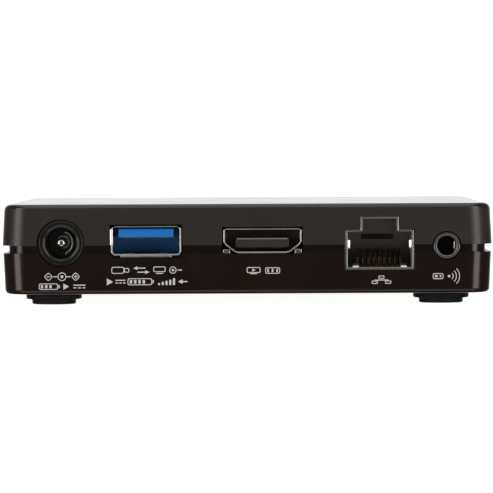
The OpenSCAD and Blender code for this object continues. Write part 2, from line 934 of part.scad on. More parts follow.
// Status lamp on the board, just under the light pipe
module status_led() {
    color([0.9, 0.9, 0.85])
        chip(light_x, led_y, 2, 1.6, led_h);
}

// Clear pipe from the lamp to the front face
module light_pipe() {
    window_z = seam_z + light_rise;
    foot_z = board_top_z + led_h + 0.3;
    color([0.85, 0.9, 0.95, 0.6]) {
        rod_y(light_x, window_z, light_d, led_y, front_y - 0.3);
        translate([light_x, led_y, foot_z])
            cylinder(d = light_d, h = window_z - foot_z);
        translate([light_x, led_y, window_z])
            sphere(d = light_d);
    }
}

// Body of the reset switch, hanging under the board
module reset_switch_body() {
    slot_h = button_travel + 0.4;
    color([0.7, 0.7, 0.7])
        difference() {
            span(
                [reset_x - switch_w / 2, reset_y - switch_w / 2, board_z - switch_h],
                [reset_x + switch_w / 2, reset_y + switch_w / 2, board_z]
            );
            translate([reset_x, reset_y, board_z - switch_h - through])
                cylinder(d = button_d + 4 * screw_gap, h = through + slot_h);
        }
}

// Push button of the reset switch, pressed upwards through the pinhole
module reset_button() {
    root = 0.1;
    color([0.15, 0.15, 0.15])
        translate([reset_x, reset_y, board_z - switch_h - button_reach])
            cylinder(d = button_d, h = button_reach + root);
}

// Plastic housing of the power jack, round at the mouth
module dc_jack_housing() {
    back_y = connector_y + dc_body_d;
    color([0.08, 0.08, 0.08])
        difference() {
            union() {
                rod_y(-dc_x, dc_z, dc_nose_d, dc_nose_y, connector_y + 1);
                span(
                    [-dc_x - dc_body_w / 2, connector_y, dc_z - dc_body_w / 2],
                    [-dc_x + dc_body_w / 2, back_y, dc_z + dc_body_w / 2]
                );
                side_lugs(-dc_x, dc_body_w, back_y - 2 * lug_l);
            }
            rod_y(-dc_x, dc_z, dc_bore_d, dc_nose_y - through, dc_bore_end);
            cone_y(-dc_x, dc_z, dc_mouth_d, dc_bore_d, dc_nose_y, dc_nose_y + dc_mouth_depth);
            rod_y(-dc_x, dc_z, dc_pin_base_d + 2 * insert_gap, dc_bore_end - through, back_y + through);
            span(
                [-dc_x + dc_bore_d / 2 - 0.8, dc_nose_y + 2.5, dc_z - dc_spring_w / 2 - insert_gap],
                [-dc_x + dc_bore_d / 2 + dc_spring_room, dc_bore_end, dc_z + dc_spring_w / 2 + insert_gap]
            );
        }
}

// Centre pin, stepped where it is held in the housing
module dc_jack_pin() {
    tip_y = dc_nose_y + dc_pin_setback;
    tip_l = 0.5;
    color([0.8, 0.79, 0.76]) {
        cone_y(-dc_x, dc_z, dc_pin_d * 0.55, dc_pin_d, tip_y, tip_y + tip_l);
        rod_y(-dc_x, dc_z, dc_pin_d, tip_y + tip_l, dc_bore_end);
        rod_y(-dc_x, dc_z, dc_pin_base_d, dc_bore_end, connector_y + dc_body_d);
    }
}

// Leaf contact in the side of the barrel hole
module dc_jack_spring() {
    side_x = -dc_x + dc_bore_d / 2 + 0.1;
    color([0.8, 0.78, 0.72])
        span(
            [side_x, dc_nose_y + 3, dc_z - dc_spring_w / 2],
            [side_x + dc_spring_t, dc_bore_end, dc_z + dc_spring_w / 2]
        );
}

// Folded metal shell of the USB socket, with a turned-down lip at its mouth
module usb_shell() {
    lip_w = 9.5;
    low = [-usb_x - usb_w / 2, mouth_y, usb_z];
    high = [-usb_x + usb_w / 2, mouth_y + usb_depth, usb_z + usb_h];
    wall = [sheet_t, 0, sheet_t];
    color([0.75, 0.75, 0.76]) {
        difference() {
            span(low, high);
            span(low + wall - [0, through, 0], high - wall + [0, through, 0]);
        }
        span(
            [-usb_x - lip_w / 2, mouth_y, usb_z - sheet_t],
            [-usb_x + lip_w / 2, mouth_y + 1.2, usb_z]
        );
    }
}

// Coloured insulator of the USB socket: back block and tongue
module usb_insulator() {
    back_y = mouth_y + usb_depth;
    inner_w = usb_w - 2 * sheet_t - 2 * insert_gap;
    inner_z = usb_z + sheet_t + insert_gap;
    inner_top = usb_z + usb_h - sheet_t - insert_gap;
    color([0.06, 0.4, 0.68]) {
        span(
            [-usb_x - inner_w / 2, back_y - usb_back_d, inner_z],
            [-usb_x + inner_w / 2, back_y, inner_top]
        );
        span(
            [-usb_x - usb_tongue_w / 2, mouth_y + usb_tongue_setback, usb_tongue_top - usb_tongue_t],
            [-usb_x + usb_tongue_w / 2, back_y - usb_back_d + 0.5, usb_tongue_top]
        );
    }
}

// Contacts under the USB tongue: four long ones, and five short ones at the back
module usb_contacts() {
    contact_t = 0.2;
    contact_w = 1.2;
    long_pitch = 2.4;
    short_pitch = 1.9;
    under_z = usb_tongue_top - usb_tongue_t;
    back_y = mouth_y + usb_depth - usb_back_d;
    color([0.83, 0.68, 0.3]) {
        for (i = [0:3])
            translate([-usb_x + (i - 1.5) * long_pitch - contact_w / 2, mouth_y + 2, under_z - contact_t])
                cube([contact_w, 4.5, contact_t]);
        for (i = [0:4])
            translate([-usb_x + (i - 2) * short_pitch - 0.3, back_y - 1.8, under_z - contact_t])
                cube([0.6, 1.8, contact_t]);
    }
}

// Folded metal shell of the video socket with its mounting legs
module video_port_shell() {
    leg_w = 1.2;
    color([0.72, 0.72, 0.73]) {
        difference() {
            prism_y(video_outline(0), mouth_y, mouth_y + video_depth);
            prism_y(video_outline(sheet_t), mouth_y - through, mouth_y + video_depth + through);
        }
        for (side = [-1, 1])
            for (y = [mouth_y + 5, mouth_y + 9.2])
                span(
                    [video_x + side * (video_w / 2 - sheet_t / 2) - sheet_t / 2, y, board_top_z],
                    [video_x + side * (video_w / 2 - sheet_t / 2) + sheet_t / 2, y + leg_w,
                        video_z + video_slope_h + sheet_t]
                );
    }
}

// Black insulator of the video socket: back plug and tongue
module video_port_insulator() {
    back_y = mouth_y + video_depth;
    tongue_z = video_z + video_tongue_z;
    color([0.09, 0.09, 0.09]) {
        prism_y(video_outline(sheet_t + insert_gap), back_y - video_back_d, back_y);
        span(
            [video_x - video_tongue_w / 2, mouth_y + video_tongue_setback, tongue_z],
            [video_x + video_tongue_w / 2, back_y - video_back_d + 0.5, tongue_z + video_tongue_t]
        );
    }
}

// Contact strips above and below the video tongue
module video_port_contacts() {
    contact_t = 0.12;
    contact_w = 0.45;
    pitch = 1;
    tongue_z = video_z + video_tongue_z;
    start_y = mouth_y + 2;
    tail_y = mouth_y + video_depth - video_back_d;
    color([0.85, 0.74, 0.42]) {
        for (i = [0:9])
            translate([video_x + (i - 4.5) * pitch - contact_w / 2, start_y, tongue_z + video_tongue_t])
                cube([contact_w, tail_y - start_y, contact_t]);
        for (i = [0:8])
            translate([video_x + (i - 4) * pitch - contact_w / 2, start_y, tongue_z - contact_t])
                cube([contact_w, tail_y - start_y, contact_t]);
    }
}

// Metal shield of the network socket: a collar in the case opening and a box around the housing
module lan_port_shield() {
    low = [lan_x - lan_box_w / 2, connector_y, lan_box_z];
    high = [lan_x + lan_box_w / 2, connector_y + lan_box_d, lan_box_top];
    wall = [sheet_t, sheet_t, sheet_t];
    color([0.78, 0.78, 0.8])
        difference() {
            union() {
                span(low, high);
                prism_y(lan_outline(sheet_t), mouth_y, connector_y + sheet_t);
                side_lugs(lan_x, lan_box_w, connector_y + lug_l);
            }
            span(low + wall, high - wall + [0, through, 0]);
            prism_y(lan_outline(0), mouth_y - through, connector_y + through);
        }
}

// Black plastic housing of the network socket
module lan_port_housing() {
    margin = sheet_t + insert_gap;
    cavity_end = lan_front_y + lan_cavity_depth;
    slot_w = 6;
    slot_z = lan_z + 5;
    color([0.07, 0.07, 0.07])
        difference() {
            span(
                [lan_x - lan_box_w / 2 + margin, lan_front_y, lan_box_z + margin],
                [lan_x + lan_box_w / 2 - margin, connector_y + lan_box_d, lan_box_top - margin]
            );
            prism_y(lan_outline(0), lan_front_y - through, cavity_end);
            span(
                [lan_x - slot_w / 2, cavity_end - through, slot_z],
                [lan_x + slot_w / 2, cavity_end + 0.9, slot_z + 1]
            );
        }
}

// Sloping spring contacts of the network socket
module lan_port_contacts() {
    slope = 20;
    contact_w = 0.4;
    contact_t = 0.3;
    contact_l = 8.5;
    start_y = lan_front_y + 2.6;
    start_x = lan_x - (lan_contacts - 1) / 2 * lan_pitch - contact_w / 2;
    color([0.85, 0.7, 0.35])
        for (i = [0:lan_contacts - 1])
            translate([start_x + i * lan_pitch, start_y, lan_z])
                rotate([slope, 0, 0])
                    cube([contact_w, contact_l, contact_t]);
}

// Plastic housing of the infrared receiver's jack, with the nose that the ring sits on
module ir_jack_housing() {
    nose_d = ir_ring_d - 2 * ir_ring_wall - 2 * insert_gap;
    color([0.1, 0.1, 0.1])
        difference() {
            union() {
                rod_y(ir_x, ir_z, nose_d, ir_nose_y, connector_y + 1);
                span(
                    [ir_x - ir_body_w / 2, connector_y, ir_z - ir_body_w / 2],
                    [ir_x + ir_body_w / 2, connector_y + ir_body_d, ir_z + ir_body_w / 2]
                );
                side_lugs(ir_x, ir_body_w, connector_y + ir_body_d - lug_l);
            }
            rod_y(ir_x, ir_z, ir_bore_d, ir_nose_y - through, ir_nose_y + ir_bore_depth);
            for (y = ir_contact_ys)
                span(
                    [ir_x + ir_contact_x, y - insert_gap, ir_z - ir_contact_h / 2 - insert_gap],
                    [ir_x + ir_body_w / 2 + through, y + ir_contact_l + insert_gap,
                        ir_z + ir_contact_h / 2 + insert_gap]
                );
        }
}

// Metal ring at the mouth of the receiver's jack
module ir_jack_ring() {
    color([0.55, 0.55, 0.56])
        difference() {
            rod_y(ir_x, ir_z, ir_ring_d, ir_nose_y, connector_y);
            rod_y(ir_x, ir_z, ir_ring_d - 2 * ir_ring_wall, ir_nose_y - through, connector_y + through);
        }
}

// Contact plates in the side of the receiver's jack
module ir_jack_contacts() {
    color([0.8, 0.76, 0.62])
        for (y = ir_contact_ys)
            span(
                [ir_x + ir_contact_x, y, ir_z - ir_contact_h / 2],
                [ir_x + ir_body_w / 2, y + ir_contact_l, ir_z + ir_contact_h / 2]
            );
}

upper_shell();
lower_shell();
foot_rear_left();
foot_rear_right();
foot_front_left();
foot_front_right();
case_screws();
main_board();
board_screws();
soc_chip();
thermal_pad();
heat_sink();
heat_sink_pins();
memory_chips();
storage_chip();
wifi_module();
antenna_left();
antenna_right();
antenna_lead_left();
antenna_lead_right();
network_transformer();
power_inductors();
can_capacitors();
power_chips();
clock_crystal();
status_led();
light_pipe();
reset_switch_body();
reset_button();
dc_jack_housing();
dc_jack_pin();
dc_jack_spring();
usb_shell();
usb_insulator();
usb_contacts();
video_port_shell();
video_port_insulator();
video_port_contacts();
lan_port_shield();
lan_port_housing();
lan_port_contacts();
ir_jack_housing();
ir_jack_ring();
ir_jack_contacts();
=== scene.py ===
"""Looks of the streaming media player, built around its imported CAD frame.

Every sub-assembly is a class that models its own pieces and dresses them in a finish. All lengths
are metres, in the frame of the CAD: the sockets look along -Y, +Z is up.
"""

from __future__ import annotations

import json
import logging
import math
from collections.abc import Callable, Iterable, Sequence
from dataclasses import dataclass
from enum import Enum

import bpy
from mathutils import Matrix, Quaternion, Vector

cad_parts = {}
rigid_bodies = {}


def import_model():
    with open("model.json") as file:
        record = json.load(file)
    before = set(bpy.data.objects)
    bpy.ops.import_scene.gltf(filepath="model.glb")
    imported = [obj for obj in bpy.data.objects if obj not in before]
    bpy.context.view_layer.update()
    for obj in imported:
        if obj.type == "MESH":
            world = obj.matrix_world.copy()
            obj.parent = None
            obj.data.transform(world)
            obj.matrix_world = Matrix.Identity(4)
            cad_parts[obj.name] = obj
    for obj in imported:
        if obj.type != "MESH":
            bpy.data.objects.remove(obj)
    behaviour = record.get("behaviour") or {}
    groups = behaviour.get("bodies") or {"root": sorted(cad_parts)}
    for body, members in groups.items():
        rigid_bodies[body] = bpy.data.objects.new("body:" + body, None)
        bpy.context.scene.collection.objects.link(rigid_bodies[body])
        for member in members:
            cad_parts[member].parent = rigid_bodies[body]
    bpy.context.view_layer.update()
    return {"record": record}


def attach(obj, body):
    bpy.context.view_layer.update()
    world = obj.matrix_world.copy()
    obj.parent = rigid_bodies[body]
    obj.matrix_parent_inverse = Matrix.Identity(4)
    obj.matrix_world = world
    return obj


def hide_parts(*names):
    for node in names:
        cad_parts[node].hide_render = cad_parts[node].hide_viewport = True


for leftover in list(bpy.data.objects):
    bpy.data.objects.remove(leftover, do_unlink=True)
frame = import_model()

LOG = logging.getLogger("media_player")
MM = 0.001
CASE = "case"
# How far a cutter runs past what it cuts.
THROUGH = 1 * MM
# Reach of a test that picks the points or edges at one level.
NEAR = 0.01 * MM
# Sheet steel of the socket shells, and the gap between a shell and its insulator.
SHEET = 0.3 * MM
INSERT_GAP = 0.05 * MM
# How far short of its back wall's rear a tongue ends.
TONGUE_ROOT = 1 * MM
# Height of an arrow head's point, as a share of the height of its root.
ARROW_POINT = 0.05
# How far the top edge of a folded shell stands back from its mouth.
TOP_SETBACK = 0.45 * MM

Point = tuple[float, float, float]
Test = Callable[[Vector, Vector], bool]


# ---------------------------------------------------------------- modelling by hand


def deselect_all() -> None:
    """Leaves edit mode and deselects every object."""
    if bpy.context.object and bpy.context.object.mode != "OBJECT":
        bpy.ops.object.mode_set(mode="OBJECT")
    bpy.ops.object.select_all(action="DESELECT")


def pick(piece: bpy.types.Object) -> None:
    """Makes a piece the only selected and active one, in object mode.

    Args:
        piece: The object to work on.
    """
    deselect_all()
    bpy.context.view_layer.objects.active = piece
    piece.select_set(True)


def settle(name: str) -> bpy.types.Object:
    """Names the active primitive and puts its place into its mesh.

    Args:
        name: The piece's name.

    Returns:
        The object, at the origin, unturned and unscaled.
    """
    piece = bpy.context.object
    piece.name = name
    piece.data.name = name
    bpy.ops.object.transform_apply(location=True, rotation=True, scale=True)
    return piece


def add_box(name: str, low: Sequence[float], high: Sequence[float]) -> bpy.types.Object:
    """Adds a box between two corners.

    Args:
        name: The piece's name.
        low: Lowest corner.
        high: Highest corner.

    Returns:
        The box.
    """
    deselect_all()
    size = Vector(high) - Vector(low)
    bpy.ops.mesh.primitive_cube_add(size=1, location=(Vector(low) + Vector(high)) / 2, scale=size)
    return settle(name)


def add_block(
    name: str, x: float, half: float, reach: Sequence[float], rise: Sequence[float]
) -> bpy.types.Object:
    """Adds a box that is centred across X.

    Args:
        name: The piece's name.
        x: Its middle.
        half: Half its width.
        reach: Y of its front and back.
        rise: Z of its bottom and top.

    Returns:
        The box.
    """
    return add_box(name, (x - half, reach[0], rise[0]), (x + half, reach[1], rise[1]))


def add_rod(
    name: str,
    start: Sequence[float],
    end: Sequence[float],
    radius: float,
    vertices: int = 64,
) -> bpy.types.Object:
    """Adds a cylinder between two points.

    Args:
        name: The piece's name.
        start: Middle of the first end.
        end: Middle of the second end.
        radius: Its radius.
        vertices: Sides of the circle.

    Returns:
        The rod.
    """
    deselect_all()
    run = Vector(end) - Vector(start)
    bpy.ops.mesh.primitive_cone_add(
        vertices=vertices,
        radius1=radius,
        radius2=radius,
        depth=run.length,
        location=(Vector(start) + Vector(end)) / 2,
        rotation=run.to_track_quat("Z", "Y").to_euler(),
    )
    return settle(name)


class Part(Enum):
    """What a selection is made of."""

    VERTS = "VERT"
    EDGES = "EDGE"
    FACES = "FACE"


def select(piece: bpy.types.Object, part: Part, test: Test) -> None:
    """Selects parts of a mesh by place and leaves the piece in edit mode.

    Args:
        piece: The object to edit.
        part: Kind of element to select.
        test: Takes place and normal of a face, both ends of an edge, or a vertex and its normal.
    """
    pick(piece)
    mesh = piece.data
    for group in (mesh.vertices, mesh.edges, mesh.polygons):
        group.foreach_set("select", [False] * len(group))
    if part is Part.FACES:
        for face in mesh.polygons:
            face.select = test(face.center, face.normal)
    elif part is Part.EDGES:
        for edge in mesh.edges:
            ends = [mesh.vertices[i].co for i in edge.vertices]
            edge.select = test(ends[0], ends[1])
    else:
        for vert in mesh.vertices:
            vert.select = test(vert.co, vert.normal)
    bpy.context.tool_settings.mesh_select_mode = [part is one for one in Part]
    bpy.ops.object.mode_set(mode="EDIT")


def everywhere(place: Vector, normal: Vector) -> bool:
    """Takes in every part of a mesh, as a test for select().

    Args:
        place: Place of the part.
        normal: Its normal.

    Returns:
        True.
    """
    return True


def shift(piece: bpy.types.Object, test: Test, way: Sequence[float]) -> None:
    """Moves chosen points of a mesh.

    Args:
        piece: The object to edit.
        test: Takes a point and its normal.
        way: How far the points move.
    """
    select(piece, Part.VERTS, test)
    bpy.ops.transform.translate(value=way)
    bpy.ops.object.mode_set(mode="OBJECT")


def squeeze(piece: bpy.types.Object, test: Test, factors: Point, centre: Point) -> None:
    """Scales chosen points of a mesh about a centre.

    Args:
        piece: The object to edit.
        test: Takes a point and its normal.
        factors: Scale along X, Y and Z.
        centre: The point that stays.
    """
    select(piece, Part.VERTS, test)
    bpy.ops.transform.resize(value=factors, center_override=centre)
    bpy.ops.object.mode_set(mode="OBJECT")


def rotate_mesh(piece: bpy.types.Object, angle: float, axis: str, centre: Point) -> None:
    """Turns a whole mesh about an axis through a point.

    Args:
        piece: The object to edit.
        angle: How far it turns, in radians.
        axis: X, Y or Z.
        centre: The point that stays.
    """
    select(piece, Part.VERTS, everywhere)
    bpy.ops.transform.rotate(value=angle, orient_axis=axis, center_override=centre)
    bpy.ops.object.mode_set(mode="OBJECT")


def slice_off(piece: bpy.types.Object, planes: Sequence[tuple[Point, Point]]) -> None:
    """Takes off what lies beyond some planes and closes the cuts.

    Args:
        piece: The object to edit.
        planes: A point and an outward direction of each plane.
    """
    for point, direction in planes:
        select(piece, Part.FACES, everywhere)
        bpy.ops.mesh.bisect(plane_co=point, plane_no=direction, use_fill=True, clear_outer=True)
        bpy.ops.object.mode_set(mode="OBJECT")


def draw_out(piece: bpy.types.Object, side: int, inset: float, height: float) -> None:
    """Draws a narrower step out of an upright piece's end face.

    Args:
        piece: The object to edit.
        side: 1 for the upper end, -1 for the lower one.
        inset: How much less the step's radius is.
        height: Height of the step.
    """
    select(piece, Part.FACES, lambda place, normal: side * normal.z > 0.9)
    bpy.ops.mesh.inset(thickness=inset)
    bpy.ops.mesh.extrude_region_move(TRANSFORM_OT_translate={"value": (0, 0, side * height)})
    bpy.ops.object.mode_set(mode="OBJECT")


def bevel(piece: bpy.types.Object, width: float, segments: int, test: Test) -> None:
    """Rounds chosen edges.

    Args:
        piece: The object to edit.
        width: Width of the rounding.
        segments: Steps of the rounding.
        test: Takes both ends of an edge and says whether it is rounded.
    """
    select(piece, Part.EDGES, test)
    bpy.ops.mesh.bevel(offset=width, offset_type="OFFSET", segments=segments, profile=0.5)
    bpy.ops.object.mode_set(mode="OBJECT")


def before(front: float) -> Test:
    """Makes a test for edges that lie at the front of a piece.

    Args:
        front: Y of the front.

    Returns:
        The test.
    """
    return lambda a, b: max(a.y, b.y) < front + NEAR


def along(axis: int) -> Test:
    """Makes a test for edges that run along one axis.

    Args:
        axis: 0 for X, 1 for Y, 2 for Z.

    Returns:
        The test.
    """

    def test(a: Vector, b: Vector) -> bool:
        """Says whether the edge from a to b runs along the axis."""
        run = b - a
        return run.length > 0 and abs(run[axis]) > 0.98 * run.length

    return test


def apply_modifier(piece: bpy.types.Object, kind: str, **settings: object) -> None:
    """Adds a modifier and applies it.

    Args:
        piece: The object to change.
        kind: Blender's name of the modifier's type.
        **settings: Values of the modifier.
    """
    pick(piece)
    modifier = piece.modifiers.new(kind.lower(), kind)
    for key, value in settings.items():
        setattr(modifier, key, value)
    bpy.ops.object.modifier_apply(modifier=modifier.name)


def clean(piece: bpy.types.Object) -> None:
    """Merges doubled points and dissolves the seams that cuts leave in flat faces.

    Args:
        piece: The object to clean.
    """
    select(piece, Part.VERTS, everywhere)
    bpy.ops.mesh.remove_doubles(threshold=0.002 * MM)
    bpy.ops.mesh.dissolve_limited(angle_limit=math.radians(0.3))
    bpy.ops.object.mode_set(mode="OBJECT")


def combine(
    piece: bpy.types.Object, others: Iterable[bpy.types.Object], operation: str = "DIFFERENCE"
) -> bpy.types.Object:
    """Cuts other solids from a piece, or fuses them to it, and removes them.

    Args:
        piece: The object that stays.
        others: The objects used up.
        operation: DIFFERENCE, UNION or INTERSECT.

    Returns:
        The piece.
    """
    for other in others:
        apply_modifier(piece, "BOOLEAN", operation=operation, solver="EXACT", object=other)
        bpy.data.objects.remove(other, do_unlink=True)
    return piece


def join(name: str, pieces: Sequence[bpy.types.Object]) -> bpy.types.Object:
    """Joins separate solids into one object.

    Args:
        name: The joined piece's name.
        pieces: The objects to join.

    Returns:
        The joined object.
    """
    pick(pieces[0])
    for piece in pieces:
        piece.select_set(True)
    bpy.ops.object.join()
    pieces[0].name = name
    pieces[0].data.name = name
    return pieces[0]


def copy_to(piece: bpy.types.Object, name: str, shift: Sequence[float]) -> bpy.types.Object:
    """Copies a piece with its own mesh and moves the copy.

    Args:
        piece: The object to copy.
        name: The copy's name.
        shift: How far the copy is moved.

    Returns:
        The copy, at the origin with its place in its mesh.
    """
    pick(piece)
    bpy.ops.object.duplicate(linked=False)
    bpy.context.object.location = shift
    return settle(name)


def soften(piece: bpy.types.Object, width: float, segments: int = 2, angle: float = 35) -> None:
    """Takes the sharpness off every hard edge and evens the shading of the flats.

    Args:
        piece: The object to finish.
        width: Width of the small rounding.
        segments: Steps of the rounding.
        angle: Edges sharper than this many degrees are rounded.
    """
    clean(piece)
    apply_modifier(
        piece,
        "BEVEL",
        width=width,
        segments=segments,
        limit_method="ANGLE",
        angle_limit=math.radians(angle),
        use_clamp_overlap=True,
    )
    shade(piece)


def shade(piece: bpy.types.Object, angle: float = 40) -> None:
    """Shades a piece smooth up to an angle, with the big faces ruling the shading.

    Args:
        piece: The object to finish.
        angle: Edges sharper than this many degrees stay hard.
    """
    pick(piece)
    bpy.ops.object.shade_smooth_by_angle(angle=math.radians(angle), keep_sharp_edges=True)
    apply_modifier(piece, "WEIGHTED_NORMAL", weight=100, keep_sharp=True)


def round_block(
    name: str, half: float, rise: Sequence[float], radius: float, segments: int
) -> bpy.types.Object:
    """Adds a square block about the case's middle, with rounded upright edges.

    Args:
        name: The piece's name.
        half: Half its width and depth.
        rise: Z of its bottom and top.
        radius: Radius of the upright edges.
        segments: Steps of the rounding.

    Returns:
        The block.
    """
    block = add_block(name, 0, half, (-half, half), rise)
    bevel(block, radius, segments, along(2))
    return block


# ---------------------------------------------------------------- finishes


def linear(hex_colour: str) -> tuple[float, float, float, float]:
    """Turns an sRGB hex colour into the linear one that shaders take.

    Args:
        hex_colour: Six hex digits.

    Returns:
        Red, green, blue and alpha.
    """
    parts = [int(hex_colour[i : i + 2], 16) / 255 for i in (0, 2, 4)]
    values = [p / 12.92 if p <= 0.04045 else ((p + 0.055) / 1.055) ** 2.4 for p in parts]
    return (values[0], values[1], values[2], 1.0)


def add_node(
    tree: bpy.types.NodeTree,
    kind: str,
    settings: dict[str, object] | None = None,
    links: dict[str, bpy.types.NodeSocket] | None = None,
) -> bpy.types.Node:
    """Adds a shader node with its settings and links.

    Args:
        tree: The material's node tree.
        kind: Blender's name of the node's type.
        settings: Values of its inputs, or else of its own properties.
        links: Output sockets that feed its inputs.

    Returns:
        The node.
    """
    node = tree.nodes.new(kind)
    for key, value in (settings or {}).items():
        if isinstance(key, int) or key in node.inputs:
            node.inputs[key].default_value = value
        else:
            setattr(node, key, value)
    for key, socket in (links or {}).items():
        tree.links.new(socket, node.inputs[key])
    return node


class Pattern(Enum):
    """How a surface was made, which says what its fine relief looks like."""

    SPARK_TEXTURE = "fine all-over grain of a spark-eroded mould"
    POLISHED = "smooth, with slow waviness and hairline scuffs"
    BRUSHED = "fine lines along the sheet's rolling direction"
    MATT = "soft dull grain"
    CIRCUIT = "copper tracks under solder mask"


@dataclass(frozen=True)
class Finish:
    """One finish: a real material and the way its surface was made.

    Attributes:
        title: Common name and how it was made, the material's name.
        slot: The record's material slot that it stands for, if any.
        base: Main colour, sRGB hex.
        shade: Second colour that the main one drifts to, sRGB hex.
        pattern: How the surface was made.
        grain: Size of one grain, scuff or line, in metres.
        relief: Height of that grain, in metres.
        roughness: Mean roughness.
        spread: How far roughness drifts either way.
        metallic: 1 for bare metal.
        ior: Refractive index of a plastic or glass.
        specular: Strength of the reflection, 0.5 is as the index says.
        transmission: 1 for clear pieces.
        tint: Colour of the reflection itself, sRGB hex.
        tracks: Colour of the copper tracks that show through, sRGB hex.
        glow: Light that comes through from behind, as in a light table.
        rolling: Axis along which brushed lines run.
    """

    title: str
    slot: str
    base: str
    shade: str
    pattern: Pattern
    grain: float
    relief: float
    roughness: float
    spread: float = 0.05
    metallic: float = 0.0
    ior: float = 1.5
    specular: float = 0.5
    transmission: float = 0.0
    tint: str = "ffffff"
    tracks: str = "1c6e3f"
    glow: float = 0.0
    rolling: int = 0

    def material(self) -> bpy.types.Material:
        """Returns the finish's material, built on first use."""
        ready = bpy.data.materials.get(self.title)
        return ready or self._build()

    def _build(self) -> bpy.types.Material:
        """Builds the node tree of the finish.

        Returns:
            The new material.
        """
        material = bpy.data.materials.new(self.title)
        material.use_nodes = True
        tree = material.node_tree
        tree.nodes.clear()
        place = add_node(tree, "ShaderNodeTexCoord").outputs["Object"]
        stretch = [1.0, 1.0, 1.0]
        if self.pattern is Pattern.BRUSHED:
            stretch[self.rolling] = 0.03
        mapped = add_node(
            tree, "ShaderNodeMapping", {"Scale": stretch}, {"Vector": place}
        ).outputs["Vector"]
        grain = add_node(
            tree,
            "ShaderNodeTexNoise",
            {"Scale": 1 / self.grain, "Detail": 3.0, "Roughness": 0.55},
            {"Vector": mapped},
        ).outputs["Fac"]
        drift = add_node(
            tree,
            "ShaderNodeTexNoise",
            {"Scale": 1 / (11 * MM), "Detail": 4.0, "Roughness": 0.6},
            {"Vector": place},
        ).outputs["Fac"]
        colour = self._colour(tree, place, grain, drift)
        rough = add_node(
            tree,
            "ShaderNodeMapRange",
            {
                "From Min": 0.3,
                "From Max": 0.7,
                "To Min": max(0.02, self.roughness - self.spread),
                "To Max": min(1.0, self.roughness + self.spread),
            },
            {"Value": drift},
        ).outputs["Result"]
        height = self._height(tree, place, grain)
        bump = add_node(
            tree,
            "ShaderNodeBump",
            {"Strength": 1.0, "Distance": self.relief},
            {"Height": height},
        ).outputs["Normal"]
        shader = add_node(
            tree,
            "ShaderNodeBsdfPrincipled",
            {
                "Metallic": self.metallic,
                "IOR": self.ior,
                "Specular IOR Level": self.specular,
                "Specular Tint": linear(self.tint),
                "Transmission Weight": self.transmission,
                "Emission Color": linear(self.base),
                "Emission Strength": self.glow,
            },
            {"Base Color": colour, "Roughness": rough, "Normal": bump},
        )
        add_node(
            tree, "ShaderNodeOutputMaterial", links={"Surface": shader.outputs["BSDF"]}
        )
        return material

    def _colour(
        self,
        tree: bpy.types.NodeTree,
        place: bpy.types.NodeSocket,
        grain: bpy.types.NodeSocket,
        drift: bpy.types.NodeSocket,
    ) -> bpy.types.NodeSocket:
        """Builds the colour: two shades that drift, and tracks on a circuit board.

        Args:
            tree: The material's node tree.
            place: Object coordinates.
            grain: Fine noise.
            drift: Slow noise.

        Returns:
            The colour socket.
        """
        blend = add_node(
            tree,
            "ShaderNodeMath",
            {"operation": "MULTIPLY_ADD", 1: 0.5, 2: 0.0},
            {0: drift},
        )
        tree.links.new(grain, blend.inputs[2])
        ramp = add_node(tree, "ShaderNodeValToRGB", links={"Fac": blend.outputs["Value"]})
        ramp.color_ramp.elements[0].position = 0.55
        ramp.color_ramp.elements[0].color = linear(self.base)
        ramp.color_ramp.elements[1].position = 0.95
        ramp.color_ramp.elements[1].color = linear(self.shade)
        if self.pattern is not Pattern.CIRCUIT:
            return ramp.outputs["Color"]
        mix = add_node(
            tree,
            "ShaderNodeMixRGB",
            {"Color2": linear(self.tracks)},
            {"Fac": self._tracks(tree, place), "Color1": ramp.outputs["Color"]},
        )
        return mix.outputs["Color"]

    def _tracks(
        self, tree: bpy.types.NodeTree, place: bpy.types.NodeSocket
    ) -> bpy.types.NodeSocket:
        """Draws copper tracks as the borders of squarish cells.

        Args:
            tree: The material's node tree.
            place: Object coordinates.

        Returns:
            1 on a track and 0 elsewhere.
        """
        cells = add_node(
            tree,
            "ShaderNodeTexVoronoi",
            {"feature": "DISTANCE_TO_EDGE", "Scale": 1 / self.grain, "Randomness": 0.75},
            {"Vector": place},
        ).outputs["Distance"]
        return add_node(
            tree,
            "ShaderNodeMapRange",
            {"From Min": 0.05, "From Max": 0.08, "To Min": 1.0, "To Max": 0.0},
            {"Value": cells},
        ).outputs["Result"]

    def _height(
        self,
        tree: bpy.types.NodeTree,
        place: bpy.types.NodeSocket,
        grain: bpy.types.NodeSocket,
    ) -> bpy.types.NodeSocket:
        """Builds the relief that the bump node reads.

        Args:
            tree: The material's node tree.
            place: Object coordinates.
            grain: Fine noise.

        Returns:
            The height socket.
        """
        if self.pattern is Pattern.CIRCUIT:
            return self._tracks(tree, place)
        if self.pattern is not Pattern.SPARK_TEXTURE:
            return grain
        pits = add_node(
            tree,
            "ShaderNodeTexVoronoi",
            {"feature": "SMOOTH_F1", "Scale": 1 / self.grain, "Smoothness": 0.6},
            {"Vector": place},
        ).outputs["Distance"]
        return add_node(
            tree, "ShaderNodeMath", {"operation": "ADD"}, {0: pits, 1: grain}
        ).outputs["Value"]


# ABS moulded in a spark-eroded tool: a dull, very fine grain that greys the black at a distance.
SATIN_ABS = Finish(
    "abs_spark_textured_black", "satin_black_abs", "1c1715", "201b18",
    Pattern.SPARK_TEXTURE, 0.22 * MM, 0.006 * MM,
    roughness=0.34, spread=0.03, ior=1.53,
)
# ABS moulded in a polished tool: a dark mirror with slow waves. Its red-brown base and warm
# reflection tint are a painted reflection of brown surroundings.
GLOSS_ABS = Finish(
    "abs_polished_black", "gloss_black_abs", "0c0503", "110805",
    Pattern.POLISHED, 5 * MM, 0.004 * MM,
    roughness=0.2, spread=0.04, ior=1.53, tint="fff2ea",
)
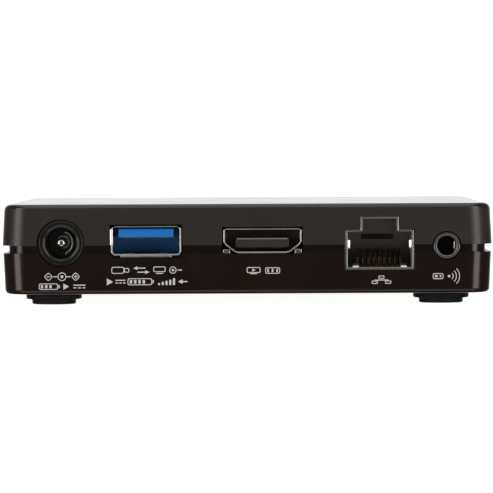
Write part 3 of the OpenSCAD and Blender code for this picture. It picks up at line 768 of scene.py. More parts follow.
# The same ABS on the roof, where the tool was polished: it mirrors the backdrop at low angles.
ROOF_ABS = Finish(
    "abs_polished_roof", "satin_black_abs", "1b1817", "201d1b",
    Pattern.POLISHED, 6 * MM, 0.002 * MM,
    roughness=0.09, spread=0.03, ior=1.53,
)
# Black rubber, compression moulded: dull, with a bloom of dust in its grain.
RUBBER = Finish(
    "rubber_moulded_black", "black_rubber", "060505", "0c0b0a",
    Pattern.MATT, 0.3 * MM, 0.012 * MM,
    roughness=0.62, spread=0.08, ior=1.52, specular=0.25,
)
# Cold-rolled steel, stamped, folded and nickel plated: bright with fine rolling lines.
NICKEL_STEEL = Finish(
    "steel_nickel_plated", "nickel_plated_steel", "e2ded6", "c6c2ba",
    Pattern.BRUSHED, 0.12 * MM, 0.002 * MM,
    roughness=0.2, spread=0.06, metallic=1.0,
)
# Brass, turned and nickel plated: a bright, slightly warm metal.
NICKEL_BRASS = Finish(
    "brass_nickel_plated", "nickel_plated_brass", "d6d0c4", "bdb6a8",
    Pattern.POLISHED, 0.6 * MM, 0.001 * MM,
    roughness=0.16, spread=0.04, metallic=1.0,
)
# Turned ring with a dull grey plating.
GREY_RING = Finish(
    "brass_turned_grey_plated", "grey_plated_ring", "8a8986", "71706d",
    Pattern.MATT, 0.15 * MM, 0.002 * MM,
    roughness=0.38, spread=0.06, metallic=1.0,
)
# Phosphor bronze, stamped and flash plated with gold.
GOLD_BRONZE = Finish(
    "bronze_gold_plated", "gold_plated_bronze", "d1a94e", "b38a3a",
    Pattern.BRUSHED, 0.08 * MM, 0.001 * MM,
    roughness=0.22, metallic=1.0, rolling=1,
)
# Glass-filled nylon, moulded, in the blue of fast sockets.
BLUE_NYLON = Finish(
    "nylon_moulded_blue", "blue_nylon", "005c9e", "00528c",
    Pattern.MATT, 0.25 * MM, 0.002 * MM,
    roughness=0.36, ior=1.53, specular=0.3,
)
# Glass-filled nylon, moulded black.
BLACK_NYLON = Finish(
    "nylon_moulded_black", "black_nylon", "1d1a18", "262220",
    Pattern.MATT, 0.25 * MM, 0.003 * MM,
    roughness=0.36, spread=0.06, ior=1.53,
)
# Glass-filled nylon, moulded, for the network socket's housing: its grey is painted light, the
# black nylon drawn lighter to stand in for light on the cavity's walls.
PAINTED_LIGHT_NYLON = Finish(
    "nylon_black_painted_lighter", "black_nylon", "6e6560", "7a716c",
    Pattern.MATT, 0.25 * MM, 0.003 * MM,
    roughness=0.4, spread=0.06, ior=1.53,
)
# Nylon moulded in a polished tool, black.
JACK_NYLON = Finish(
    "nylon_polished_black", "black_nylon", "1c1a19", "232120",
    Pattern.POLISHED, 2 * MM, 0.002 * MM,
    roughness=0.14, spread=0.04, ior=1.53,
)
# White nylon, moulded.
WHITE_NYLON = Finish(
    "nylon_moulded_white", "white_nylon", "d9d6cd", "c9c5ba",
    Pattern.MATT, 0.3 * MM, 0.003 * MM,
    roughness=0.45, ior=1.53,
)
# Pad-printed ink, pale grey, thin enough to take the mould's gloss.
PRINT_INK = Finish(
    "ink_pad_printed_grey", "", "aaa6a1", "98958f",
    Pattern.MATT, 0.12 * MM, 0.001 * MM,
    roughness=0.5, spread=0.08,
)
# Steel screws, black zinc plated.
BLACK_ZINC = Finish(
    "steel_black_zinc", "black_zinc_steel", "2b2b2e", "3d3c40",
    Pattern.MATT, 0.12 * MM, 0.003 * MM,
    roughness=0.34, spread=0.08, metallic=1.0,
)
# Steel screws, clear zinc plated.
ZINC_STEEL = Finish(
    "steel_clear_zinc", "zinc_steel", "b9b7ad", "9c9a90",
    Pattern.MATT, 0.12 * MM, 0.003 * MM,
    roughness=0.32, spread=0.08, metallic=1.0,
)
# Glass-epoxy laminate under green solder mask, with the tracks standing a little proud.
SOLDER_MASK = Finish(
    "laminate_solder_mask_green", "green_solder_mask", "0d4a2a", "0b4024",
    Pattern.CIRCUIT, 2.4 * MM, 0.03 * MM,
    roughness=0.3, ior=1.55,
)
# Epoxy, transfer moulded round a chip.
CHIP_EPOXY = Finish(
    "epoxy_moulded_black", "chip_epoxy", "1d1d1f", "27272a",
    Pattern.SPARK_TEXTURE, 0.12 * MM, 0.004 * MM,
    roughness=0.55, ior=1.55,
)
# Ferrite powder, pressed.
FERRITE = Finish(
    "ferrite_pressed", "ferrite", "3c3c40", "4a4a4e",
    Pattern.MATT, 0.2 * MM, 0.01 * MM,
    roughness=0.6, ior=1.6,
)
# Aluminium, deep drawn into cans.
CAN_ALUMINIUM = Finish(
    "aluminium_drawn", "bare_aluminium", "d4d5d8", "bcbdc1",
    Pattern.BRUSHED, 0.1 * MM, 0.001 * MM,
    roughness=0.28, metallic=1.0, rolling=2,
)
# Aluminium, extruded and clear anodised.
ANODISED = Finish(
    "aluminium_anodised", "anodised_aluminium", "b4b6ba", "a2a4a9",
    Pattern.BRUSHED, 0.15 * MM, 0.003 * MM,
    roughness=0.4, metallic=1.0, rolling=1,
)
# Soft filled silicone sheet.
SILICONE = Finish(
    "silicone_sheet", "silicone_pad", "97a6b8", "8796a8",
    Pattern.MATT, 0.4 * MM, 0.01 * MM,
    roughness=0.6, ior=1.41,
)
# Polyimide film over copper.
COPPER_FLEX = Finish(
    "polyimide_over_copper", "copper_flex", "b4762d", "9c6424",
    Pattern.CIRCUIT, 3 * MM, 0.02 * MM,
    roughness=0.3, ior=1.6, tracks="d39a4c",
)
# Fluoropolymer jacket, extruded.
LEAD_JACKET = Finish(
    "fluoropolymer_extruded_black", "lead_jacket", "1f1f20", "2b2b2c",
    Pattern.POLISHED, 1 * MM, 0.003 * MM,
    roughness=0.3, ior=1.38,
)
# Acrylic, moulded and polished.
CLEAR_ACRYLIC = Finish(
    "acrylic_polished_clear", "clear_acrylic", "e8eef2", "dfe6ea",
    Pattern.POLISHED, 2 * MM, 0.001 * MM,
    roughness=0.08, spread=0.02, ior=1.49, transmission=0.85,
)
# Opal acrylic sheet of a light table, lit from below.
STUDIO_FLOOR = Finish(
    "acrylic_opal_lit", "", "fbfbfa", "f4f3f1",
    Pattern.MATT, 2 * MM, 0.02 * MM,
    roughness=0.7, specular=0.2, glow=0.99,
)


def dress(
    piece: bpy.types.Object, finish: Finish, replaces: Sequence[str] = (), body: str = CASE
) -> bpy.types.Object:
    """Gives a piece its finish and ties it to its body.

    Args:
        piece: The finished mesh.
        finish: Its material.
        replaces: CAD nodes that it stands for.
        body: CAD body that it moves with.

    Returns:
        The piece.
    """
    piece.data.materials.clear()
    piece.data.materials.append(finish.material())
    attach(piece, body)
    if replaces:
        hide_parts(*replaces)
    LOG.info("%s: %d faces, %s", piece.name, len(piece.data.polygons), finish.title)
    return piece


# ---------------------------------------------------------------- the case


@dataclass(frozen=True)
class CaseShape:
    """Levels and half sizes of the two shells, which all that meets them shares."""

    base: float = 2.05 * MM
    floor_top: float = 3.65 * MM
    base_top: float = 9.75 * MM
    seam: float = 11.2 * MM
    lip_top: float = 12.4 * MM
    roof: float = 17.3 * MM
    top: float = 18.9 * MM
    half: float = 46 * MM
    lower_half: float = 45.88 * MM
    lip_half: float = 44.75 * MM
    cavity_half: float = 43.55 * MM
    wall: float = 2 * MM
    corner: float = 4.5 * MM
    board_under: float = 8.1 * MM
    board_top: float = 9.3 * MM
    mouth: float = -45.85 * MM
    inside: float = -43.35 * MM
    upper_lean: float = math.radians(3)
    lower_lean: float = math.radians(2.6)
    screws: tuple[tuple[float, float], ...] = tuple(
        (x * 37.2 * MM, y * 23.5 * MM) for x in (-1, 1) for y in (-1, 1)
    )


SHAPE = CaseShape()


@dataclass(frozen=True)
class PortHoles:
    """Openings that the five sockets need in the rear wall."""

    jack: Point = (-34.9 * MM, 11.65 * MM, 4.5 * MM)
    receiver: Point = (37.36 * MM, 10.93 * MM, 2.7 * MM)
    usb_low: tuple[float, float] = (-25.675 * MM, 8.8 * MM)
    usb_high: tuple[float, float] = (-12.125 * MM, 15.1 * MM)
    video_low: tuple[float, float] = (-4.68 * MM, 9.45 * MM)
    video_high: tuple[float, float] = (10.42 * MM, 14.57 * MM)
    lan_low: tuple[float, float] = (18.25 * MM, 6.37 * MM)
    lan_high: tuple[float, float] = (31.35 * MM, 14.13 * MM)
    notch_half: float = 3.75 * MM
    notch_top: float = 16.6 * MM

    def cutter(self) -> bpy.types.Object:
        """Makes one object of all the openings, to be cut from a shell."""
        near = -SHAPE.half - THROUGH
        far = -SHAPE.cavity_half + THROUGH
        holes = [
            add_rod("jack_hole", (x, near, z), (x, far, z), radius, vertices=96)
            for x, z, radius in (self.jack, self.receiver)
        ]
        for low, high in ((self.usb_low, self.usb_high), (self.video_low, self.video_high)):
            hole = add_box("socket_hole", (low[0], near, low[1]), (high[0], far, high[1]))
            bevel(hole, 0.25 * MM, 3, along(1))
            holes.append(hole)
        middle = (self.lan_low[0] + self.lan_high[0]) / 2
        half = (self.lan_high[0] - self.lan_low[0]) / 2
        reach = (near, far)
        body = add_block("lan_hole", middle, half, reach, (self.lan_low[1], self.lan_high[1]))
        rise = (self.lan_low[1] + THROUGH, self.notch_top)
        notch = add_block("lan_notch_hole", middle, self.notch_half, reach, rise)
        holes.append(combine(body, [notch], "UNION"))
        return join("port_holes", holes)


def screw_rods(
    radius: float, low: float, high: float, vertices: int
) -> list[bpy.types.Object]:
    """Makes the posts or the holes at the four case screws.

    Args:
        radius: Radius of each.
        low: Lower end.
        high: Upper end.
        vertices: Sides of the circle.

    Returns:
        One object of the four, in a list.
    """
    rods = [
        add_rod("screw_rod", (x, y, low), (x, y, high), radius, vertices)
        for x, y in SHAPE.screws
    ]
    return [join("screw_rods", rods)]


@dataclass
class UpperCase:
    """Upper shell: satin roof and leaning sides, with the rebate that hides the lip."""

    top_round: float = 1 * MM
    rebate_half: float = 44.85 * MM
    rebate_top: float = 12.5 * MM
    rebate_corner: float = 3.35 * MM
    post_radius: float = 3.5 * MM
    post_bore: float = 1.35 * MM
    post_bore_top: float = 14.8 * MM
    post_root: float = 0.3 * MM
    window_radius: float = 1.4 * MM
    window_level: float = 13.8 * MM
    edge: float = 0.14 * MM

    def build(self) -> bpy.types.Object:
        """Models the shell and dresses it."""
        s = SHAPE
        shell = round_block("upper_case", s.half, (s.seam, s.top), s.corner, 14)
        lean(shell, s.top, s.half, (s.top - s.seam) * math.tan(s.upper_lean))
        bevel(shell, self.top_round, 7, lambda a, b: min(a.z, b.z) > s.top - NEAR)
        low = s.seam - THROUGH
        cavity = round_block("cavity", s.half - s.wall, (low, s.roof), s.corner - s.wall, 8)
        rise = (low, self.rebate_top)
        step = round_block("rebate", self.rebate_half, rise, self.rebate_corner, 10)
        combine(shell, [cavity, step, PortHoles().cutter(), self._window()])
        posts = screw_rods(self.post_radius, s.board_top, s.roof + self.post_root, 40)
        combine(shell, posts, "UNION")
        combine(shell, screw_rods(self.post_bore, s.board_top - THROUGH, self.post_bore_top, 40))
        soften(shell, self.edge, 3)
        dress(shell, SATIN_ABS, ["upper_shell"])
        self._polish_roof(shell)
        return shell

    def _polish_roof(self, shell: bpy.types.Object) -> None:
        """Gives the roof and its rounded edge the polished finish.

        Args:
            shell: The dressed shell.
        """
        shell.data.materials.append(ROOF_ABS.material())
        level = SHAPE.top - self.top_round
        for face in shell.data.polygons:
            if face.center.z > level and face.normal.z > 0.3:
                face.material_index = 1

    def _window(self) -> bpy.types.Object:
        """Makes the hole for the light pipe in the front wall."""
        near, far = SHAPE.half - 2 * SHAPE.wall, SHAPE.half + THROUGH
        level = self.window_level
        return add_rod("window", (0, near, level), (0, far, level), self.window_radius, vertices=48)


@dataclass
class LowerCase:
    """Lower shell: glossy floor and walls, the lip behind the groove, wells, vents and pinhole."""

    bottom_round: float = 0.9 * MM
    lip_corner: float = 3.25 * MM
    lip_root: float = 1 * MM
    hollow_corner: float = 2.05 * MM
    well_radius: float = 2.4 * MM
    well_top: float = 4.35 * MM
    post_radius: float = 3.5 * MM
    post_root: float = 0.8 * MM
    bore_radius: float = 1.35 * MM
    board_post_radius: float = 2.4 * MM
    board_posts: tuple[float, float] = (-8.4025 * MM, 13.485 * MM)
    board_post_y: float = -36.05 * MM
    foot_place: float = 36.6 * MM
    foot_radius: float = 2.48 * MM
    foot_depth: float = 1.08 * MM
    vents: int = 7
    vent_pitch: float = 4 * MM
    vent_size: tuple[float, float] = (1.6 * MM, 22 * MM)
    pinhole: Point = (-15 * MM, 30 * MM, 0.8 * MM)
    edge: float = 0.14 * MM

    def build(self) -> bpy.types.Object:
        """Models the shell and dresses it."""
        s = SHAPE
        half = s.lower_half
        radius = s.corner - (s.half - half)
        shell = round_block("lower_case", half, (s.base, s.base_top), radius, 14)
        lean(shell, s.base, half, (s.base_top - s.base) * math.tan(s.lower_lean))
        bevel(shell, self.bottom_round, 7, lambda a, b: max(a.z, b.z) < s.base + NEAR)
        rise = (s.floor_top - self.lip_root, s.lip_top)
        combine(shell, [round_block("lip", s.lip_half, rise, self.lip_corner, 12)], "UNION")
        rise = (s.floor_top, s.lip_top + THROUGH)
        combine(shell, [round_block("hollow", s.cavity_half, rise, self.hollow_corner, 8)])
        combine(shell, [self._posts()], "UNION")
        combine(shell, [self._wells(), self._floor_holes(), PortHoles().cutter()])
        soften(shell, self.edge, 3)
        return dress(shell, GLOSS_ABS, ["lower_shell"])

    def _posts(self) -> bpy.types.Object:
        """Makes the posts under the circuit board."""
        low, high = SHAPE.base + self.post_root, SHAPE.board_under
        posts = screw_rods(self.post_radius, low, high, 40)
        for x in self.board_posts:
            ends = [(x, self.board_post_y, z) for z in (low, high)]
            posts.append(add_rod("board_post", *ends, self.board_post_radius, vertices=32))
        return join("lower_posts", posts)

    def _wells(self) -> bpy.types.Object:
        """Makes the screw wells and, above them, the screws' clearance holes, as stepped solids."""
        wells = []
        for x, y in SHAPE.screws:
            ends = [(x, y, z) for z in (SHAPE.base - THROUGH, self.well_top)]
            well = add_rod("well", *ends, self.well_radius, vertices=48)
            inset = self.well_radius - self.bore_radius
            draw_out(well, 1, inset, SHAPE.board_top - self.well_top)
            wells.append(well)
        return join("wells", wells)

    def _floor_holes(self) -> bpy.types.Object:
        """Makes the foot sockets, the vents and the reset pinhole."""
        low = SHAPE.base - THROUGH
        holes = []
        for x in (-self.foot_place, self.foot_place):
            for y in (-self.foot_place, self.foot_place):
                top = (x, y, SHAPE.base + self.foot_depth)
                holes.append(add_rod("socket", (x, y, low), top, self.foot_radius, vertices=40))
        x, y, radius = self.pinhole
        high = SHAPE.floor_top + THROUGH
        holes.append(add_rod("pinhole", (x, y, low), (x, y, high), radius, vertices=32))
        width, length = self.vent_size
        first = -(self.vents - 1) / 2 * self.vent_pitch
        slot = add_block("vent", first, width / 2, (-length / 2, length / 2), (low, high))
        bevel(slot, width * 0.48, 6, along(2))
        holes.append(slot)
        for i in range(1, self.vents):
            holes.append(copy_to(slot, "vent_copy", (i * self.vent_pitch, 0, 0)))
        return join("floor_holes", holes)


def lean(piece: bpy.types.Object, level: float, half: float, amount: float) -> None:
    """Leans the side walls inwards by drawing in all points at one level.

    Args:
        piece: The block.
        level: Height of the points that move.
        half: Half width at that level before.
        amount: How far each side moves in.
    """
    factor = 1 - amount / half
    squeeze(
        piece,
        lambda place, normal: abs(place.z - level) < NEAR,
        (factor, factor, 1),
        (0, 0, level),
    )


@dataclass
class Feet:
    """Four rubber feet: a flange under the floor, a pad on the table and a push-in spigot."""

    place: float = 36.6 * MM
    flange_radius: float = 5.25 * MM
    flange_low: float = 0.95 * MM
    pad_radius: float = 4.15 * MM
    spigot_radius: float = 2.4 * MM
    spigot_height: float = 1 * MM
    edge: float = 0.28 * MM

    def build(self) -> list[bpy.types.Object]:
        """Models one foot, copies it to the other corners and dresses them all."""
        x = y = -self.place
        foot = add_rod(
            "foot_rear_left_rubber", (x, y, self.flange_low), (x, y, SHAPE.base),
            self.flange_radius, vertices=72,
        )
        draw_out(foot, -1, self.flange_radius - self.pad_radius, self.flange_low)
        draw_out(foot, 1, self.flange_radius - self.spigot_radius, self.spigot_height)
        soften(foot, self.edge, 3, angle=50)
        feet = [dress(foot, RUBBER, ["foot_rear_left"])]
        for name, sx, sy in (("rear_right", 1, 0), ("front_left", 0, 1), ("front_right", 1, 1)):
            shift = (2 * self.place * sx, 2 * self.place * sy, 0)
            twin = copy_to(foot, f"foot_{name}_rubber", shift)
            feet.append(dress(twin, RUBBER, [f"foot_{name}"]))
        return feet


# ---------------------------------------------------------------- the sockets


@dataclass
class RoundJack:
    """What the round jacks share: an axis along Y, and the rods and the body round it.

    Attributes:
        x: Place of its axis.
        z: Place of its axis.
        sides: Sides of its circles.
    """

    x: float
    z: float
    sides: int

    def _rod(self, name: str, start: float, end: float, radius: float) -> bpy.types.Object:
        """Adds a rod on the jack's axis.

        Args:
            name: The rod's name.
            start: Y of its first end.
            end: Y of its second end.
            radius: Its radius.

        Returns:
            The rod.
        """
        ends = [(self.x, y, self.z) for y in (start, end)]
        return add_rod(name, *ends, radius, vertices=self.sides)

    def _body(self, name: str, half: float, front: float, depth: float) -> bpy.types.Object:
        """Adds the square body behind the wall.

        Args:
            name: The body's name.
            half: Half its width and height.
            front: Y of its front.
            depth: How far its back lies behind the wall.

        Returns:
            The body.
        """
        reach = (front, SHAPE.inside + depth)
        return add_block(name, self.x, half, reach, (self.z - half, self.z + half))


@dataclass
class PowerJack(RoundJack):
    """Round power jack: a glossy nose in a recess, a centre pin and a leaf contact."""

    x: float = -34.9 * MM
    z: float = 11.65 * MM
    sides: int = 72
    nose_y: float = -44 * MM
    nose_radius: float = 4.3 * MM
    nose_root: float = 0.15 * MM
    bore_radius: float = 2.9 * MM
    bore_end: float = -34.5 * MM
    mouth_round: float = 0.55 * MM
    groove_radii: tuple[float, float] = (3.66 * MM, 4.02 * MM)
    groove_depth: float = 0.25 * MM
    body_half: float = 4.5 * MM
    body_depth: float = 12.2 * MM
    pin_radius: float = 1 * MM
    pin_tip: float = -43.1 * MM
    pin_round: float = 0.85 * MM
    pin_root: float = 0.6 * MM
    collar_radius: float = 1.4 * MM
    collar_length: float = 0.5 * MM
    collar_round: float = 0.2 * MM
    leaf_radius: float = 2.3 * MM
    leaf_thick: float = 0.3 * MM
    leaf_side: float = 0.8 * MM
    leaf_margin: float = 1.5 * MM

    def build(self) -> list[bpy.types.Object]:
        """Models the jack and dresses it."""
        return [self._housing(), self._pin(), self._leaf()]

    def _housing(self) -> bpy.types.Object:
        """Models the moulded body and its nose, with a rounded mouth and the bore."""
        body = self._body("power_jack_body", self.body_half, SHAPE.inside, self.body_depth)
        near = self.nose_y - THROUGH
        combine(body, [self._rod("bore", near, self.bore_end, self.bore_radius)])
        nose = self._rod("nose", self.nose_y, SHAPE.inside + self.nose_root, self.nose_radius)
        combine(nose, [self._rod("bore", near, SHAPE.inside + THROUGH, self.bore_radius)])
        rim = (self.bore_radius + self.nose_radius) / 2
        bevel(
            nose,
            self.mouth_round,
            4,
            lambda a, b: self._at_mouth(a, rim) and self._at_mouth(b, rim),
        )
        inner, outer = self.groove_radii
        ring = self._rod("groove", near, self.nose_y + self.groove_depth, outer)
        combine(ring, [self._rod("core", near - THROUGH, self.nose_y + THROUGH, inner)])
        combine(nose, [ring])
        for piece in (body, nose):
            soften(piece, 0.07 * MM, 3, angle=40)
        return dress(join("power_jack_body", [body, nose]), JACK_NYLON, ["dc_jack_housing"])

    def _at_mouth(self, place: Vector, reach: float) -> bool:
        """Tells whether a point lies on the nose's face and nearer to the axis than a radius.

        Args:
            place: The point.
            reach: The radius.

        Returns:
            True if it does.
        """
        away = math.hypot(place.x - self.x, place.z - self.z)
        return place.y < self.nose_y + NEAR and away < reach

    def _pin(self) -> bpy.types.Object:
        """Models the turned pin with its rounded tip and the collar at its root."""
        root = self.bore_end - self.pin_root
        pin = self._rod("power_jack_pin", root, self.pin_tip, self.pin_radius)
        bevel(pin, self.pin_round, 7, before(self.pin_tip))
        front = self.bore_end - self.collar_length
        collar = self._rod("collar", front, self.bore_end, self.collar_radius)
        bevel(collar, self.collar_round, 2, before(front))
        combine(pin, [collar], "UNION")
        shade(pin)
        return dress(pin, NICKEL_BRASS, ["dc_jack_pin"])

    def _leaf(self) -> bpy.types.Object:
        """Models the curved leaf contact that lines one side of the bore."""
        start, end = self.nose_y + self.leaf_margin, self.bore_end - self.leaf_margin
        leaf = self._rod("power_jack_leaf", start, end, self.leaf_radius)
        inner = self.leaf_radius - self.leaf_thick
        combine(leaf, [self._rod("inner", start - THROUGH, end + THROUGH, inner)])
        past = 2 * self.leaf_radius
        low = (self.x + self.leaf_side, start - 2 * THROUGH, self.z - past)
        high = (self.x + past, end + 2 * THROUGH, self.z + past)
        combine(leaf, [add_box("keep", low, high)], "INTERSECT")
        soften(leaf, 0.05 * MM, 2)
        return dress(leaf, NICKEL_STEEL, ["dc_jack_spring"])


def folded_shell(
    name: str,
    low: Sequence[float],
    high: Sequence[float],
    bend: float,
    slopes: Sequence[tuple[Point, Point]] = (),
) -> bpy.types.Object:
    """Models a socket's shell as sheet metal folded round a rectangle, open at its mouth.

    Args:
        name: The shell's name.
        low: Lowest corner of its outside.
        high: Highest corner of its outside.
        bend: Outer radius of the folds.
        slopes: A point and an outward direction of each plane that takes off a lower corner.

    Returns:
        The shell.
    """
    shell = add_box(name, low, high)
    slice_off(shell, slopes)
    bevel(shell, bend, 4, along(1))
    select(shell, Part.FACES, lambda place, normal: normal.y < -0.9)
    bpy.ops.mesh.delete(type="FACE")
    bpy.ops.object.mode_set(mode="OBJECT")
    apply_modifier(shell, "SOLIDIFY", thickness=SHEET, offset=-1, use_even_offset=True)
    mouth, top = low[1] + NEAR, high[2] - 1.1 * SHEET
    shift(shell, lambda place, normal: place.y < mouth and place.z > top, (0, TOP_SETBACK, 0))
    soften(shell, 0.4 * SHEET, 3, angle=60)
    return shell


def sprung_finger(
    root: Sequence[float], length: float, width: float, bow: Sequence[float]
) -> bpy.types.Object:
    """Models a spring finger cut from the sheet: it runs inwards from the mouth and bows out.

    Args:
        root: Middle of its root at the mouth.
        length: How far it runs towards +Y.
        width: Its width across the bow.
        bow: How far its middle stands off the wall, as a vector in X and Z.

    Returns:
        The finger.
    """
    thick, steps = 0.1 * MM, 8
    reach = Vector((width / 2 if bow[2] else thick, 0, width / 2 if bow[0] else thick))
    start = Vector(root)
    strip = add_box("finger", start - reach, start + reach + Vector((0, length, 0)))
    select(strip, Part.EDGES, along(1))
    bpy.ops.mesh.subdivide(number_cuts=steps - 1)
    bpy.ops.object.mode_set(mode="OBJECT")
    for i in range(1, steps):
        station = start.y + length * i / steps
        rise = math.sin(math.pi * i / (steps - 1)) ** 0.8
        shift(strip, lambda place, normal: abs(place.y - station) < NEAR, Vector(bow) * rise)
    shade(strip, 50)
    return strip


@dataclass(frozen=True)
class FingerPair:
    """Two spring fingers, one on each side of a socket's middle.

    Attributes:
        reach: How far from the middle each has its root.
        setback: How far behind the mouth the root lies.
        level: Z of the root.
        length: How far each runs towards +Y.
        width: Width across the bow.
        bow: How far each bows towards the middle, and how far up.
    """

    reach: float
    setback: float
    level: float
    length: float
    width: float
    bow: tuple[float, float]

    def build(self, x: float) -> list[bpy.types.Object]:
        """Models both fingers.

        Args:
            x: The socket's middle.

        Returns:
            The fingers.
        """
        return [
            sprung_finger(
                (x + side * self.reach, SHAPE.mouth + self.setback, self.level),
                self.length,
                self.width,
                (-side * self.bow[0], 0, self.bow[1]),
            )
            for side in (-1, 1)
        ]


def flared_tab(name: str, corner: Point, width: float, height: float) -> bpy.types.Object:
    """Models a small upright tab whose inner side leans back into the socket.

    Args:
        name: The tab's name.
        corner: Its outer, lower corner at the front.
        width: Its width from there towards the socket's middle, negative for a tab on the right.
        height: Its height.

    Returns:
        The tab.
    """
    thick, slant = 0.1 * MM, 0.44
    x, y, z = corner
    split = x + width / 2
    tab = add_block(name, split, abs(width) / 2, (y, y + thick), (z, z + height))
    lean_back = (0, slant * abs(width), 0)
    shift(tab, lambda place, normal: (place.x - split) * width > 0, lean_back)
    soften(tab, 0.03 * MM, 2)
    return tab


@dataclass
class UsbSocket:
    """Type A socket: a folded steel shell round a blue tongue."""

    low: Point = (-25.475 * MM, -45.85 * MM, 9.3 * MM)
    high: Point = (-12.325 * MM, -31.85 * MM, 14.9 * MM)
    bend: float = 0.75 * MM
    lip_half: float = 4.75 * MM
    lip_depth: float = 1.3 * MM
    lip_drop: float = 0.02 * MM
    lip_flare: Point = (0, -0.1 * MM, -0.3 * MM)
    lip_back: Point = (0, 0.12 * MM, 0)
    flare_out: tuple[float, float] = (0.13 * MM, 0.06 * MM)
    flare_level: float = 11.3 * MM
    flare_size: tuple[float, float] = (0.5 * MM, 2.9 * MM)
    tongue_half: float = 5.2 * MM
    tongue_thick: float = 1.7 * MM
    tongue_top: float = 14.35 * MM
    tongue_y: float = -45.05 * MM
    back_depth: float = 4 * MM
    fingers: tuple[FingerPair, ...] = (
        FingerPair(3.2 * MM, 2 * MM, 9.6 * MM, 6 * MM, 1.6 * MM, (0, 0.45 * MM)),
        FingerPair(6.275 * MM, 2.5 * MM, 11.6 * MM, 6 * MM, 1.4 * MM, (0.35 * MM, 0)),
    )

    def build(self) -> list[bpy.types.Object]:
        """Models the socket and dresses it."""
        return [self._shell(), self._insulator()]

    @property
    def middle(self) -> float:
        """X of the socket's middle."""
        return (self.low[0] + self.high[0]) / 2

    def _shell(self) -> bpy.types.Object:
        """Models the shell, its flared lower lip, its left flare and its spring fingers."""
        x, y, z = self.low
        shell = folded_shell("usb_socket_shell", self.low, self.high, self.bend)
        reach, rise = (y, y + self.lip_depth), (z - self.lip_drop, z + SHEET)
        lip = add_block("lip", self.middle, self.lip_half, reach, rise)
        front, split = y + NEAR, z + SHEET / 2
        shift(lip, lambda place, normal: place.y < front and place.z < split, self.lip_flare)
        shift(lip, lambda place, normal: place.y < front and place.z > split, self.lip_back)
        soften(lip, 0.09 * MM, 3)
        out, forward = self.flare_out
        corner = (x - out, y - forward, self.flare_level)
        details = [lip, flared_tab("flare", corner, *self.flare_size)]
        for pair in self.fingers:
            details += pair.build(self.middle)
        return dress(join("usb_socket_shell", [shell, *details]), NICKEL_STEEL, ["usb_shell"])

    def _insulator(self) -> bpy.types.Object:
        """Models the tongue with its chamfered nose, and the back wall behind it."""
        inset = SHEET + INSERT_GAP
        end = self.high[1] - inset
        back = add_box(
            "usb_socket_tongue",
            (self.low[0] + inset, end - self.back_depth, self.low[2] + inset),
            (self.high[0] - inset, end, self.high[2] - inset),
        )
        reach = (self.tongue_y, end - TONGUE_ROOT)
        rise = (self.tongue_top - self.tongue_thick, self.tongue_top)
        tongue = add_block("tongue", self.middle, self.tongue_half, reach, rise)
        bevel(tongue, 0.3 * MM, 2, before(self.tongue_y))
        combine(back, [tongue], "UNION")
        soften(back, 0.06 * MM, 2)
        return dress(back, BLUE_NYLON, ["usb_insulator"])


